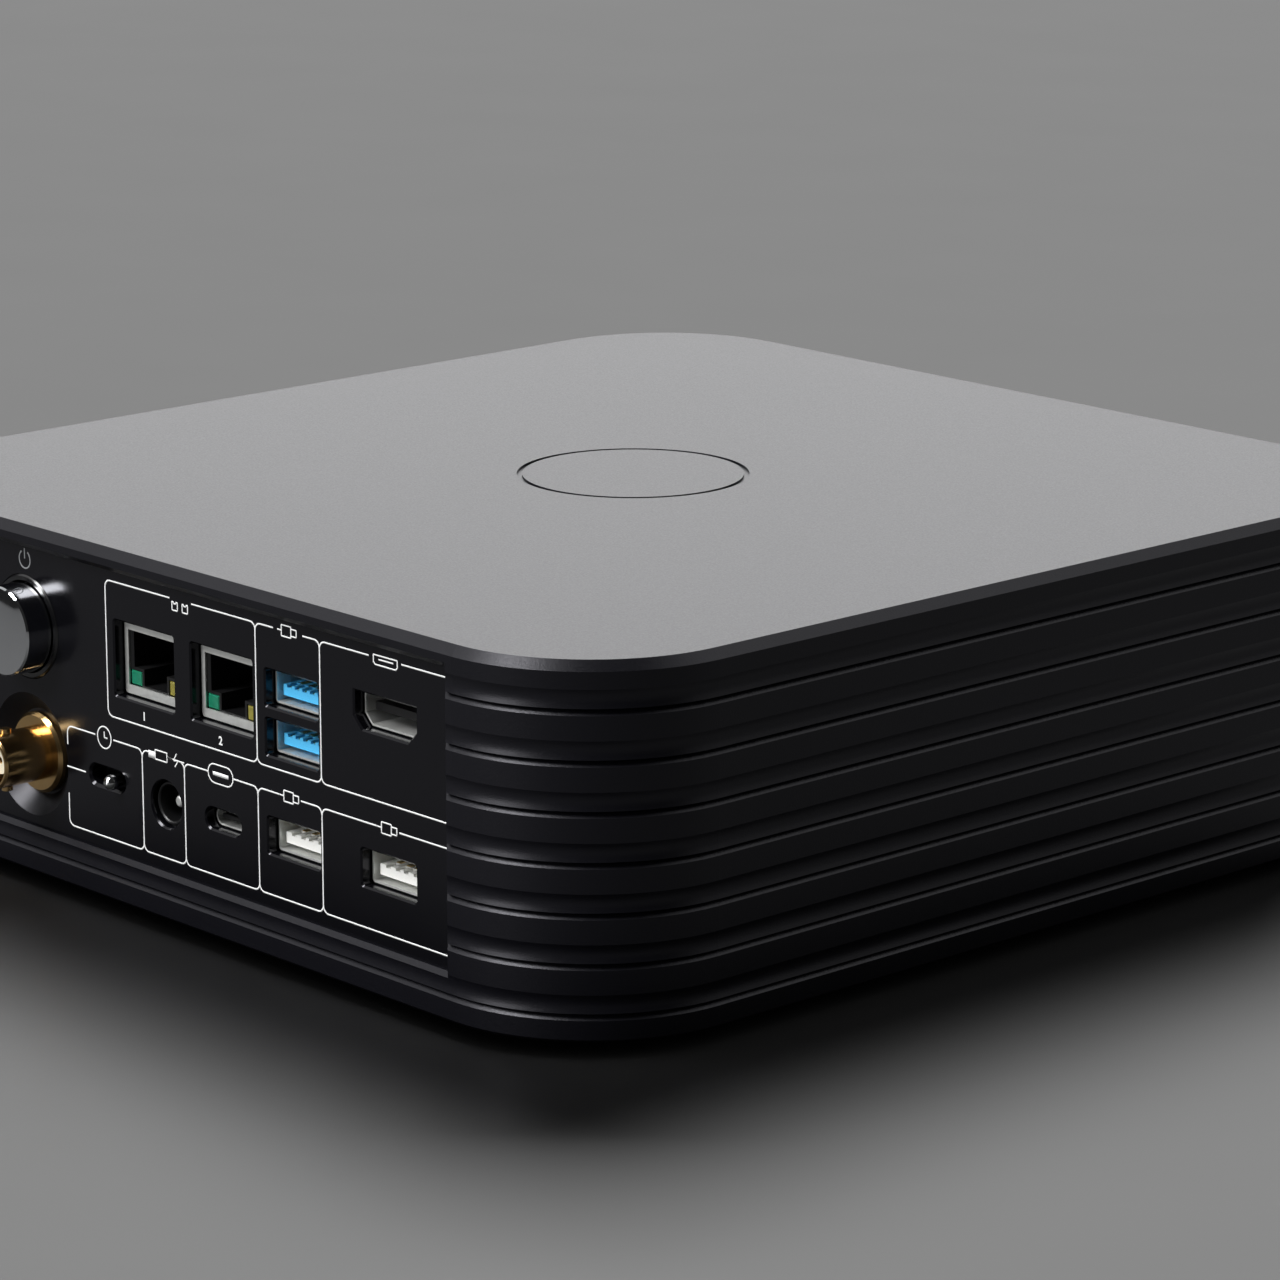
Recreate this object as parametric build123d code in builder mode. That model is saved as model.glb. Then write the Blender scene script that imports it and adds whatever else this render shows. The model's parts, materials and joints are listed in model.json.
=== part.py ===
from build123d import *
import math
import os

os.makedirs("parts", exist_ok=True)

# Frame: origin on the table under the middle of the case, X to the left as the
# rear panel is faced, Y to the rear, Z up. Millimetres.

# Case, scaled on the photograph by its standard sockets
width = 210.0
depth = 215.0
foot_gap = 2.5
body_height = 62.5
corner_r = 30.0
wall = 5.0
top_wall = 3.0
top_chamfer = 1.6
bottom_chamfer = 0.5
mark_r = 21.2
mark_line = 1.0
mark_depth = 0.45

# Machined grooves round the case
groove_count = 7
groove_pitch = 8.34
first_groove = 7.6
groove_depth = 1.15
scallop_height = 3.1
scallop_sag = 0.3

# Opening in the rear wall and the panel behind it
window_w = width - 65.0
window_low = foot_gap + 8.1
window_high = foot_gap + body_height - 3.9
window_chamfer = 1.0
lip = 1.6
panel_t = 5.4
panel_side = 1.8
panel_under = 1.9
panel_over = 1.2
port_wall = 2.4
seat_gap = 0.3
ear_t = 2.0
ear_reach = window_w / 2 + 10.0
ear_h = 11.0
ear_in = (9.4, 8.1)
ear_z = (window_low + ear_in[0], window_high - ear_in[1])

# Bottom plate, feet and screws
plate_t = 3.0
plate_ledge = 2.0
boss_r = 5.0
boss_in = (15.2, 15.2)
boss_x, boss_y = width / 2 - boss_in[0], depth / 2 - boss_in[1]
boss_xy = ((boss_x, boss_y), (width / 2 - 9.0, 0.0), (boss_x, -boss_y))
foot_r = 9.0
foot_seat = 1.5
foot_xy = (width / 2 - 27.0, depth / 2 - 27.5)
foot_stem_r = 2.4
m3_r = 1.5
m3_depth = 10.0
m25_r = 1.25
m25_head_r = 2.3
m25_head_h = 1.6
thread_gap = 0.03
hole_gap = 0.2

# Boards
board_t = 1.6
board_side = 30.0
board_front = 27.5
main_w, main_d = width - 2 * board_side, depth - 95.0
main_y = depth / 2 - board_front - main_d / 2
main_z = foot_gap + body_height - 17.0
main_boss_r = 3.5
main_hole_in = 5.0
cpu_side = 38.0
cpu_t = 1.8
pad_t = 1.0
pedestal_side = 42.0
cpu_xy = (20.0, 25.0)
storage_edge_x = -52.0
storage_drive_l = 78.0
storage_end_x = storage_edge_x + storage_drive_l
storage_drive_y = -10.0
storage_drive_z = main_z - 2.8
storage_drive_w = 22.0
storage_drive_t = 0.8
storage_insert = 3.0
memory_w, memory_d, memory_h = 12.0, 10.0, 1.1
memory_pitch = (16.0, 14.0)
memory_off = 42.0
power_w, power_d = width - 2 * board_side, depth - 105.0
power_y = depth / 2 - board_front - power_d / 2
power_z = foot_gap + 9.5
capacitor_r, capacitor_h = 6.25, 20.0
capacitor_pitch = 15.0
capacitors_xy = (-50.0, 12.0)
inductor_side, inductor_h = 12.0, 7.0
inductor_pitch = (15.0, 17.0)
inductors_xy = (-18.0, 12.0)
oven_side, oven_h = 25.4, 12.7
battery_r, battery_t, battery_rim = 10.0, 2.6, 0.6
post_r = 3.0
stud_r = 1.5
stud_h = 1.2

# Levels that follow
top_z = foot_gap + body_height
ceiling_z = top_z - top_wall
plate_top = foot_gap + plate_t
rear_y = depth / 2
inner_y = rear_y - wall
face_y = rear_y - lip
panel_back_y = face_y - panel_t
port_back_y = face_y - port_wall
panel_w = window_w + 2 * panel_side
panel_low = window_low - panel_under
panel_high = window_high + panel_over
panel_mid_z = (panel_low + panel_high) / 2
window_mid_z = (window_low + window_high) / 2
window_h = window_high - window_low
ear_x = (panel_w / 2 + ear_reach) / 2
cpu_low = main_z + board_t
pad_low = cpu_low + cpu_t
pedestal_low = pad_low + pad_t
main_link_w, link_h, link_blade_t = 40.0, 5.0, 1.6
link_gap = 1.7
link_d, link_over = 7.0, 0.5
link_blade_in = 4.5
main_x = main_w / 2 - main_hole_in
main_edges = (main_y - main_d / 2, main_y + main_d / 2)
main_ys = (main_edges[0] + main_hole_in + 1, main_edges[1] - main_hole_in - 1)
power_x = power_w / 2 - main_hole_in
power_edges = (power_y - power_d / 2, power_y + power_d / 2)
power_ys = (power_edges[0] + main_hole_in, power_edges[1] - main_hole_in)

# Rear board and sockets, spread over the opening as the photograph has them
port_depth = 14.2
port_set = 2.1
port_y = face_y - port_set
io_y = port_y - port_depth
across = window_w / 145.0
rise = window_h / 50.5


def spot(x, z):
    """A place on the rear panel, x from the middle and z above the opening's lower edge."""
    return (x * across, window_low + z * rise)


switch_x, switch_z = spot(18.9, 13.0)
switch_w, switch_h = 13.0, 8.0
post_gap = 0.25
post_z = switch_z - switch_h / 2 - post_gap - post_r
pocket_gap = 0.35
pocket_z = post_z - post_r - pocket_gap
io_low, io_high = (spot(-68.0, 0)[0], pocket_z), spot(56.0, 48.4)
pocket_low, pocket_high = (spot(-70.0, 0)[0], pocket_z), spot(27.0, 47.4)
io_posts_xz = (
    spot(-64.5, 22.4),
    spot(-13.5, 21.6),
    (switch_x + 4.7, post_z),
    (spot(-22.0, 0)[0], post_z + 0.05),
    spot(51.0, 24.9),
)

# Links between the boards: place along X, lower level, edge of the board and width. The
# power board's link fills the space between that board's screw and the lower post's screw
power_link_ends = (-power_x + m25_head_r + link_gap, io_posts_xz[3][0] - m25_head_r - link_gap)
link_places = (
    (0.0, main_z - link_h, main_edges[1], main_link_w),
    (
        sum(power_link_ends) / 2,
        power_z + board_t,
        power_edges[1],
        power_link_ends[1] - power_link_ends[0],
    ),
)
cut_gap = 0.3
cut_bevel = 0.3
shell_t = 0.35
fit = 0.05
network_spots = (spot(7.7, 35.1), spot(-13.7, 35.1))
network_x = [x for x, z in network_spots]
network_z = network_spots[0][1]
network_w, network_h = 16.0, 12.8
network_bar = 1.5
network_side = 1.0
plug_w, plug_h = 11.8, 6.5
plug_top = 1.55
latch_w, latch_h = 6.4, 2.9
light_w, light_h, light_d = 3.2, 2.7, 6.0
plug_depth = 11.8
contact_pitch = 1.02
contact_drop = 1.9
usb3_x = spot(-32.4, 0)[0]
usb3_z = (spot(0, 37.95)[1], spot(0, 29.5)[1])
storage_x, storage_z = spot(-32.5, 12.5)
audio_x, audio_z = spot(-57.0, 12.4)
usb_w, usb_h = 13.2, 5.8
tongue_w, tongue_t = 11.1, 1.9
tongue_low = 0.95
tongue_set = 0.8
notch_w, notch_h, notch_l = 1.2, 0.45, 2.0
contact_offsets = (-3.5, -1.0, 1.0, 3.5)
fast_offsets = (-4.0, -2.0, 0.0, 2.0, 4.0)
base_t = 2.4
video_x, video_z = spot(-56.5, 38.85)
video_w, video_h = 15.0, 5.6
video_cut = 1.9
type_c_x, type_c_z = spot(-13.5, 12.1)
type_c_w, type_c_h = 8.94, 3.16
inlet_x, inlet_z = spot(2.2, 11.8)
inlet_side = 9.6
inlet_nose_r = 3.85
inlet_bore_r = 3.2
inlet_pin_r = 1.05
inlet_bore_d = 11.0

# Clock connector, its dish in the panel, and the clock switch
clock_x, clock_z = spot(41.3, 12.8)
dish_r = 11.05
dish_floor_r = 7.7
dish_depth = 2.8
clock_flange_r = 7.3
clock_flange_t = 1.8
clock_thread_r = 5.6
clock_barrel_r = 4.85
clock_bore_r = 4.1
clock_reach = 8.7
clock_pin_r = 0.7
lug_r = 1.0
lug_reach = 5.6
slot_w, slot_h = 9.9, 3.4
slot_bevel = 0.45
lever_pivot = 9.4
lever_length = 12.2
lever_angle = 14.0
lever_r = 1.15
lever_ball_r = 2.1
lever_pin_r = 0.7
lever_pin_half = 3.6
lever_tip_r = 1.4

# Power button
button_x, button_z = spot(41.5, 35.9)
bezel_r = 9.3
bezel_set = 2.8
bezel_proud = 0.3
bezel_bore_r = 8.3
bezel_thread_r = 7.9
bezel_cavity_r = 6.0
bezel_floor = 1.6
cap_r = 8.0
cap_t = 6.4
cap_dome = 1.0
cap_travel = 1.2
stem_r = 2.5
collar_r = 3.8
collar_t = 1.5
nut_t = 3.0
nut_r = 10.4
spring_r = 3.25
spring_wire_r = 0.25
spring_turns = 4

dish_y = face_y - dish_depth
bezel_front_y = face_y + bezel_proud
bezel_seat_y = face_y - bezel_set
bezel_floor_y = bezel_seat_y + 0.5
bezel_cavity_y = bezel_floor_y - bezel_floor
cap_back_y = bezel_floor_y + cap_travel + 0.2
cap_rim_y = cap_back_y + cap_t
collar_y = bezel_cavity_y - 0.3
core_y = panel_back_y - 5.5
stem_end_y = core_y + cap_travel + 0.2
pivot_y = face_y - lever_pivot
bezel_rear_y = panel_back_y - 8.3
spring_low_y = core_y + spring_wire_r + 0.02
spring_high_y = collar_y - collar_t - spring_wire_r - 0.02
dome_r = ((cap_r - 0.3) ** 2 + cap_dome**2) / (2 * cap_dome)
clock_rear_y = panel_back_y - 6.0
clock_end_y = face_y + clock_reach
insert_y = port_y - shell_t - fit
plug_top_z = network_z + network_h / 2 - plug_top
plug_mid_z = plug_top_z - plug_h / 2
light_x = network_w / 2 - network_side - light_w / 2
light_z = network_z - network_h / 2 + network_bar + light_h / 2
contact_xs = [x + (i - 3.5) * contact_pitch for x in network_x for i in range(8)]
tongue_z = tongue_low + shell_t + (tongue_t - usb_h) / 2
usb_places = [(usb3_x, z) for z in usb3_z] + [(storage_x, storage_z), (audio_x, audio_z)]
lever_lean = math.radians(lever_angle)
lever_plane = Plane(
    origin=(switch_x, pivot_y, switch_z),
    x_dir=(0, 0, 1),
    z_dir=(-math.sin(lever_lean), math.cos(lever_lean), 0),
)


def level(z):
    """Flat sketch plane at height z; a positive extrude runs up."""
    return Plane.XY.offset(z)


def upright(y):
    """Sketch plane at depth y that reads x and z; a positive extrude runs forward."""
    return Plane.XZ.offset(-y)


def mirrored(points):
    """Each x, y point on both sides of the middle."""
    return [(side * x, y) for x, y in points for side in (-1, 1)]


def usb_shell_sketches(centres, wall_t):
    """Outline of a USB socket's shell, drawn in by wall_t, at each centre."""
    with Locations(*centres):
        RectangleRounded(usb_w - 2 * wall_t, usb_h - 2 * wall_t, 0.7 - wall_t)


def video_outline(grow):
    """Outline of the video socket with its lower corners cut, drawn out by grow."""
    half_w = video_w / 2 + grow
    half_h = video_h / 2 + grow
    cut = video_cut + (2 - math.sqrt(2)) * grow
    with Locations((video_x, video_z)):
        Polygon(
            (-half_w, half_h),
            (-half_w, cut - half_h),
            (cut - half_w, -half_h),
            (half_w - cut, -half_h),
            (half_w, cut - half_h),
            (half_w, half_h),
            align=None,
        )


def port_cuts(grow):
    """Outlines of the sockets in the rear panel, drawn out by grow."""
    with Locations(*[(x, network_z) for x in network_x]):
        RectangleRounded(network_w + 2 * grow, network_h + 2 * grow, 0.3 + grow)
    with Locations(*usb_places):
        RectangleRounded(usb_w + 2 * grow, usb_h + 2 * grow, 0.3 + grow)
    with Locations((type_c_x, type_c_z)):
        SlotOverall(type_c_w + 2 * grow, type_c_h + 2 * grow)
    with Locations((inlet_x, inlet_z)):
        Circle(inlet_nose_r + grow)
    video_outline(grow)


boss_points = mirrored(boss_xy)
foot_points = [(sx * foot_xy[0], sy * foot_xy[1]) for sx in (-1, 1) for sy in (-1, 1)]
main_points = [(sx * main_x, y) for sx in (-1, 1) for y in main_ys]
power_points = [(sx * power_x, y) for sx in (-1, 1) for y in power_ys]
ear_points = [(sx * ear_x, z) for sx in (-1, 1) for z in ear_z]

# Housing: one milled block with grooves all round
with BuildLine() as groove_path:
    Line((0, -rear_y), (width / 2 - corner_r, -rear_y))
    CenterArc((width / 2 - corner_r, corner_r - rear_y), corner_r, -90, 90)
    Line((width / 2, corner_r - rear_y), (width / 2, rear_y - corner_r))
    CenterArc((width / 2 - corner_r, rear_y - corner_r), corner_r, 0, 90)
    Line((width / 2 - corner_r, rear_y), (corner_r - width / 2, rear_y))
    CenterArc((corner_r - width / 2, rear_y - corner_r), corner_r, 90, 90)
    Line((-width / 2, rear_y - corner_r), (-width / 2, corner_r - rear_y))
    CenterArc((corner_r - width / 2, corner_r - rear_y), corner_r, 180, 90)
    Line((corner_r - width / 2, -rear_y), (0, -rear_y))
groove_plane = Plane(origin=(0, -rear_y, 0), x_dir=(0, -1, 0), z_dir=(-1, 0, 0))

with BuildPart() as housing:
    with BuildSketch(level(foot_gap)):
        RectangleRounded(width, depth, corner_r)
    extrude(amount=body_height)
    chamfer(housing.faces().sort_by(Axis.Z)[-1].edges(), length=top_chamfer)
    chamfer(housing.faces().sort_by(Axis.Z)[0].edges(), length=bottom_chamfer)
    with BuildSketch(groove_plane):
        for k in range(groove_count):
            upper = top_z - first_groove - groove_pitch * k
            with BuildLine():
                Polyline((0, upper), (-groove_depth, upper), (0, upper - groove_depth))
                Polyline(
                    (0, upper - groove_depth),
                    (1, upper - groove_depth),
                    (1, upper + scallop_height),
                    (0, upper + scallop_height),
                )
                ThreePointArc(
                    (0, upper + scallop_height),
                    (-scallop_sag, upper + scallop_height / 2),
                    (0, upper),
                )
            make_face()
    sweep(path=groove_path.wire(), mode=Mode.SUBTRACT)
    with BuildSketch(level(top_z)):
        Circle(mark_r)
        Circle(mark_r - mark_line, mode=Mode.SUBTRACT)
    extrude(amount=-mark_depth, mode=Mode.SUBTRACT)
    # Inside, with a ledge for the bottom plate
    with BuildSketch(level(foot_gap)):
        RectangleRounded(width - 2 * wall, depth - 2 * wall, corner_r - wall)
    extrude(amount=ceiling_z - foot_gap, mode=Mode.SUBTRACT)
    with BuildSketch(level(foot_gap)):
        RectangleRounded(
            width - 2 * wall + 2 * plate_ledge,
            depth - 2 * wall + 2 * plate_ledge,
            corner_r - wall + plate_ledge,
        )
    extrude(amount=plate_t, mode=Mode.SUBTRACT)
    # Bosses for the bottom plate and the mainboard, and the processor's pedestal
    with BuildSketch(level(ceiling_z)):
        with Locations(*boss_points):
            Circle(boss_r)
    extrude(amount=plate_top - ceiling_z)
    with BuildSketch(level(ceiling_z)):
        with Locations(*main_points):
            Circle(main_boss_r)
    extrude(amount=cpu_low - ceiling_z)
    with BuildSketch(level(ceiling_z)):
        with Locations(cpu_xy):
            RectangleRounded(pedestal_side, pedestal_side, 3)
    extrude(amount=pedestal_low - ceiling_z)
    with BuildSketch(level(plate_top)):
        with Locations(*boss_points):
            Circle(m3_r + thread_gap)
    extrude(amount=m3_depth, mode=Mode.SUBTRACT)
    with BuildSketch(level(main_z + board_t)):
        with Locations(*main_points):
            Circle(m25_r + thread_gap)
    extrude(amount=8, mode=Mode.SUBTRACT)
    # Rear opening, its edge, and the seats of the panel and its ears behind it
    with BuildSketch(upright(rear_y)):
        with Locations((0, window_mid_z)):
            RectangleRounded(window_w, window_h, 1)
    extrude(amount=wall, mode=Mode.SUBTRACT)
    with BuildSketch(upright(rear_y)):
        with Locations((0, window_mid_z)):
            Rectangle(window_w + 2 * window_chamfer, window_h + 2 * window_chamfer)
    extrude(amount=window_chamfer, taper=45, mode=Mode.SUBTRACT)
    with BuildSketch(upright(face_y)):
        with Locations((0, panel_mid_z)):
            Rectangle(panel_w + 2 * seat_gap, panel_high - panel_low + 2 * seat_gap)
    extrude(amount=panel_t + seat_gap, mode=Mode.SUBTRACT)
    with BuildSketch(upright(inner_y)):
        with Locations(*[(0, z) for z in ear_z]):
            Rectangle(2 * ear_reach + 2 * seat_gap, ear_h + 2 * seat_gap)
    extrude(amount=ear_t + seat_gap, mode=Mode.SUBTRACT)
    with BuildSketch(upright(inner_y)):
        with Locations(*ear_points):
            Circle(m25_r + thread_gap)
    extrude(amount=-3.2, mode=Mode.SUBTRACT)
housing.part.label = "housing"
export_step(housing.part, "parts/housing.step")

# Bottom plate with pockets for the feet and sunk holes for its screws
with BuildPart() as bottom_plate:
    with BuildSketch(level(foot_gap)):
        RectangleRounded(
            width - 2 * wall + 2 * (plate_ledge - seat_gap),
            depth - 2 * wall + 2 * (plate_ledge - seat_gap),
            corner_r - wall + plate_ledge - seat_gap,
        )
    extrude(amount=plate_t)
    with BuildSketch(level(foot_gap)):
        with Locations(*foot_points):
            Circle(foot_r + 0.15)
    extrude(amount=foot_seat, mode=Mode.SUBTRACT)
    with BuildSketch(level(foot_gap)):
        with Locations(*foot_points):
            Circle(foot_stem_r + fit)
    extrude(amount=plate_t, mode=Mode.SUBTRACT)
    with Locations(*[Location((x, y, foot_gap), (180, 0, 0)) for x, y in boss_points]):
        CounterSinkHole(m3_r + hole_gap, 2 * m3_r + hole_gap, plate_t)
    with BuildSketch(level(plate_top)):
        with Locations(*power_points):
            Circle(stud_r + thread_gap)
    extrude(amount=-stud_h, mode=Mode.SUBTRACT)
bottom_plate.part.label = "bottom_plate"
export_step(bottom_plate.part, "parts/bottom_plate.step")

with BuildPart() as bottom_screws:
    with BuildSketch(level(foot_gap + 0.1)):
        with Locations(*boss_points):
            Circle(2 * m3_r)
    extrude(amount=m3_r, taper=45)
    with BuildSketch(level(foot_gap + 0.1)):
        with Locations(*boss_points):
            Circle(m3_r)
    extrude(amount=plate_t + 8)
    with BuildSketch(level(foot_gap + 0.1)):
        with Locations(*boss_points):
            RegularPolygon(1.15, 6)
    extrude(amount=1.3, mode=Mode.SUBTRACT)
bottom_screws.part.label = "bottom_screws"
export_step(bottom_screws.part, "parts/bottom_screws.step")

with BuildPart() as feet:
    with BuildSketch(level(0)):
        with Locations(*foot_points):
            Circle(foot_r)
    extrude(amount=foot_gap + foot_seat)
    chamfer(feet.faces().group_by(Axis.Z)[0].edges(), length=0.6)
    with BuildSketch(level(foot_gap)):
        with Locations(*foot_points):
            Circle(foot_stem_r)
    extrude(amount=plate_t)
    with BuildSketch(level(plate_top)):
        with Locations(*foot_points):
            Circle(foot_stem_r + 1)
    extrude(amount=2, taper=25)
feet.part.label = "feet"
export_step(feet.part, "parts/feet.step")

# Rear panel: milled from behind to a thin wall where the sockets come through
with BuildPart() as rear_panel:
    with BuildSketch(upright(face_y)):
        with Locations((0, panel_mid_z)):
            Rectangle(panel_w, panel_high - panel_low)
    extrude(amount=panel_t)
    with BuildSketch(upright(panel_back_y + ear_t)):
        with Locations(*[(0, z) for z in ear_z]):
            Rectangle(2 * ear_reach, ear_h)
    extrude(amount=ear_t)
    with BuildSketch(upright(panel_back_y)):
        with Locations(pocket_low):
            RectangleRounded(
                pocket_high[0] - pocket_low[0],
                pocket_high[1] - pocket_low[1],
                3,
                align=Align.MIN,
            )
    extrude(amount=port_wall - panel_t, mode=Mode.SUBTRACT)
    with BuildSketch(upright(face_y)):
        port_cuts(cut_gap)
        with Locations((switch_x, switch_z)):
            SlotOverall(slot_w, slot_h)
        with Locations((button_x, button_z)):
            Circle(bezel_thread_r + 0.1)
        with Locations((clock_x, clock_z)):
            Circle(clock_thread_r + 0.1)
    extrude(amount=panel_t, mode=Mode.SUBTRACT)
    with BuildSketch(upright(face_y)):
        with Locations((button_x, button_z)):
            Circle(bezel_r + 0.1)
    extrude(amount=bezel_set, mode=Mode.SUBTRACT)
    with BuildSketch(upright(face_y)):
        port_cuts(cut_gap + cut_bevel)
    extrude(amount=cut_bevel, taper=45, mode=Mode.SUBTRACT)
    with BuildSketch(upright(face_y)):
        with Locations((switch_x, switch_z)):
            SlotOverall(slot_w + 2 * slot_bevel, slot_h + 2 * slot_bevel)
    extrude(amount=slot_bevel, taper=45, mode=Mode.SUBTRACT)
    with BuildSketch(upright(face_y)):
        with Locations((clock_x, clock_z)):
            Circle(dish_r)
    extrude(
        amount=dish_depth,
        taper=math.degrees(math.atan((dish_r - dish_floor_r) / dish_depth)),
        mode=Mode.SUBTRACT,
    )
    with BuildSketch(upright(panel_back_y)):
        with Locations(*ear_points):
            Circle(m25_r + hole_gap)
    extrude(amount=-ear_t, mode=Mode.SUBTRACT)
    with BuildSketch(upright(panel_back_y)):
        with Locations(io_posts_xz[-1]):
            Circle(stud_r + thread_gap)
    extrude(amount=-stud_h, mode=Mode.SUBTRACT)
    with BuildSketch(upright(port_back_y)):
        with Locations(*io_posts_xz[:-1]):
            Circle(stud_r + thread_gap)
    extrude(amount=-stud_h, mode=Mode.SUBTRACT)
rear_panel.part.label = "rear_panel"
export_step(rear_panel.part, "parts/rear_panel.step")

with BuildPart() as panel_screws:
    with BuildSketch(upright(panel_back_y)):
        with Locations(*ear_points):
            Circle(m25_head_r)
    extrude(amount=m25_head_h)
    chamfer(panel_screws.faces().group_by(Axis.Y)[0].edges(), length=0.4)
    with BuildSketch(upright(panel_back_y)):
        with Locations(*ear_points):
            Circle(m25_r)
    extrude(amount=-ear_t - 2.8)
    with BuildSketch(upright(panel_back_y - m25_head_h)):
        with Locations(*ear_points):
            RegularPolygon(0.95, 6)
    extrude(amount=-1, mode=Mode.SUBTRACT)
panel_screws.part.label = "panel_screws"
export_step(panel_screws.part, "parts/panel_screws.step")

# Mainboard under the top, its processor on the pedestal, memory and storage
with BuildPart() as mainboard:
    with BuildSketch(level(main_z)):
        with Locations((0, main_y)):
            RectangleRounded(main_w, main_d, 3)
        with Locations(*main_points):
            Circle(m25_r + hole_gap, mode=Mode.SUBTRACT)
        with Locations((storage_end_x, storage_drive_y)):
            Circle(stud_r + thread_gap, mode=Mode.SUBTRACT)
    extrude(amount=board_t)
mainboard.part.label = "mainboard"
export_step(mainboard.part, "parts/mainboard.step")

with BuildPart() as mainboard_screws:
    with BuildSketch(level(main_z)):
        with Locations(*main_points):
            Circle(m25_head_r)
    extrude(amount=-m25_head_h)
    chamfer(mainboard_screws.faces().group_by(Axis.Z)[0].edges(), length=0.4)
    with BuildSketch(level(main_z)):
        with Locations(*main_points):
            Circle(m25_r)
    extrude(amount=board_t + 6)
    with BuildSketch(level(main_z - m25_head_h)):
        with Locations(*main_points):
            RegularPolygon(0.95, 6)
    extrude(amount=1, mode=Mode.SUBTRACT)
mainboard_screws.part.label = "mainboard_screws"
export_step(mainboard_screws.part, "parts/mainboard_screws.step")

with BuildPart() as processor:
    with BuildSketch(level(cpu_low)):
        with Locations(cpu_xy):
            Rectangle(cpu_side, cpu_side)
    extrude(amount=cpu_t - 1)
    with BuildSketch(level(cpu_low)):
        with Locations(cpu_xy):
            RectangleRounded(cpu_side - 8, cpu_side - 8, 2)
    extrude(amount=cpu_t)
processor.part.label = "processor"
export_step(processor.part, "parts/processor.step")

with BuildPart() as thermal_pad:
    with BuildSketch(level(pad_low)):
        with Locations(cpu_xy):
            Rectangle(cpu_side - 10, cpu_side - 10)
    extrude(amount=pad_t)
thermal_pad.part.label = "thermal_pad"
export_step(thermal_pad.part, "parts/thermal_pad.step")

with BuildPart() as memory_chips:
    with BuildSketch(level(cpu_low)):
        with Locations((cpu_xy[0] - memory_off, cpu_xy[1])):
            with GridLocations(*memory_pitch, 2, 3):
                Rectangle(memory_w, memory_d)
    extrude(amount=memory_h)
memory_chips.part.label = "memory_chips"
export_step(memory_chips.part, "parts/memory_chips.step")

with BuildPart() as storage_socket:
    with BuildSketch(level(main_z)):
        with Locations((storage_edge_x - 1, storage_drive_y)):
            Rectangle(8, storage_drive_w + 3)
    extrude(amount=storage_drive_z - main_z - 1.2)
    with BuildSketch(level(storage_drive_z - fit)):
        with Locations((storage_edge_x + storage_insert, storage_drive_y)):
            Rectangle(2 * storage_insert + 2 * fit, storage_drive_w + 2 * fit)
    extrude(amount=storage_drive_t + 2 * fit, mode=Mode.SUBTRACT)
storage_socket.part.label = "storage_socket"
export_step(storage_socket.part, "parts/storage_socket.step")

with BuildPart() as storage_drive:
    with BuildSketch(level(storage_drive_z)):
        with Locations(((storage_edge_x + storage_end_x) / 2, storage_drive_y)):
            Rectangle(storage_end_x - storage_edge_x, storage_drive_w)
        with Locations((storage_end_x, storage_drive_y)):
            Circle(1.8, mode=Mode.SUBTRACT)
    extrude(amount=storage_drive_t)
    with BuildSketch(level(storage_drive_z)):
        with Locations((storage_edge_x + 20, storage_drive_y)):
            Rectangle(12, 14)
        with Locations((storage_edge_x + 40, storage_drive_y)):
            Rectangle(14, 18)
        with Locations((storage_edge_x + 60, storage_drive_y)):
            Rectangle(14, 18)
    extrude(amount=-1.2)
storage_drive.part.label = "storage_drive"
export_step(storage_drive.part, "parts/storage_drive.step")

with BuildPart() as storage_post:
    with BuildSketch(level(storage_drive_z + storage_drive_t)):
        with Locations((storage_end_x, storage_drive_y)):
            RegularPolygon(2.9, 6)
    extrude(amount=main_z - storage_drive_z - storage_drive_t)
    with BuildSketch(level(main_z)):
        with Locations((storage_end_x, storage_drive_y)):
            Circle(stud_r)
    extrude(amount=stud_h)
    with BuildSketch(level(storage_drive_z + storage_drive_t)):
        with Locations((storage_end_x, storage_drive_y)):
            Circle(1 + thread_gap)
    extrude(amount=2.4, mode=Mode.SUBTRACT)
storage_post.part.label = "storage_post"
export_step(storage_post.part, "parts/storage_post.step")

with BuildPart() as storage_screw:
    with BuildSketch(level(storage_drive_z)):
        with Locations((storage_end_x, storage_drive_y)):
            Circle(2.3)
    extrude(amount=-0.9)
    with BuildSketch(level(storage_drive_z)):
        with Locations((storage_end_x, storage_drive_y)):
            Circle(1)
    extrude(amount=storage_drive_t + 2)
    with BuildSketch(level(storage_drive_z - 0.9)):
        with Locations((storage_end_x, storage_drive_y)):
            RegularPolygon(0.8, 6)
    extrude(amount=0.6, mode=Mode.SUBTRACT)
storage_screw.part.label = "storage_screw"
export_step(storage_screw.part, "parts/storage_screw.step")

# Power and clock board on posts above the bottom plate
with BuildPart() as power_board:
    with BuildSketch(level(power_z)):
        with Locations((0, power_y)):
            RectangleRounded(power_w, power_d, 3)
        with Locations(*power_points):
            Circle(m25_r + hole_gap, mode=Mode.SUBTRACT)
    extrude(amount=board_t)
power_board.part.label = "power_board"
export_step(power_board.part, "parts/power_board.step")

with BuildPart() as power_board_posts:
    with BuildSketch(level(plate_top)):
        with Locations(*power_points):
            RegularPolygon(post_r, 6)
    extrude(amount=power_z - plate_top)
    with BuildSketch(level(plate_top)):
        with Locations(*power_points):
            Circle(stud_r)
    extrude(amount=0.1 - stud_h)
    with BuildSketch(level(power_z)):
        with Locations(*power_points):
            Circle(m25_r + thread_gap)
    extrude(amount=-5, mode=Mode.SUBTRACT)
power_board_posts.part.label = "power_board_posts"
export_step(power_board_posts.part, "parts/power_board_posts.step")

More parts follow.
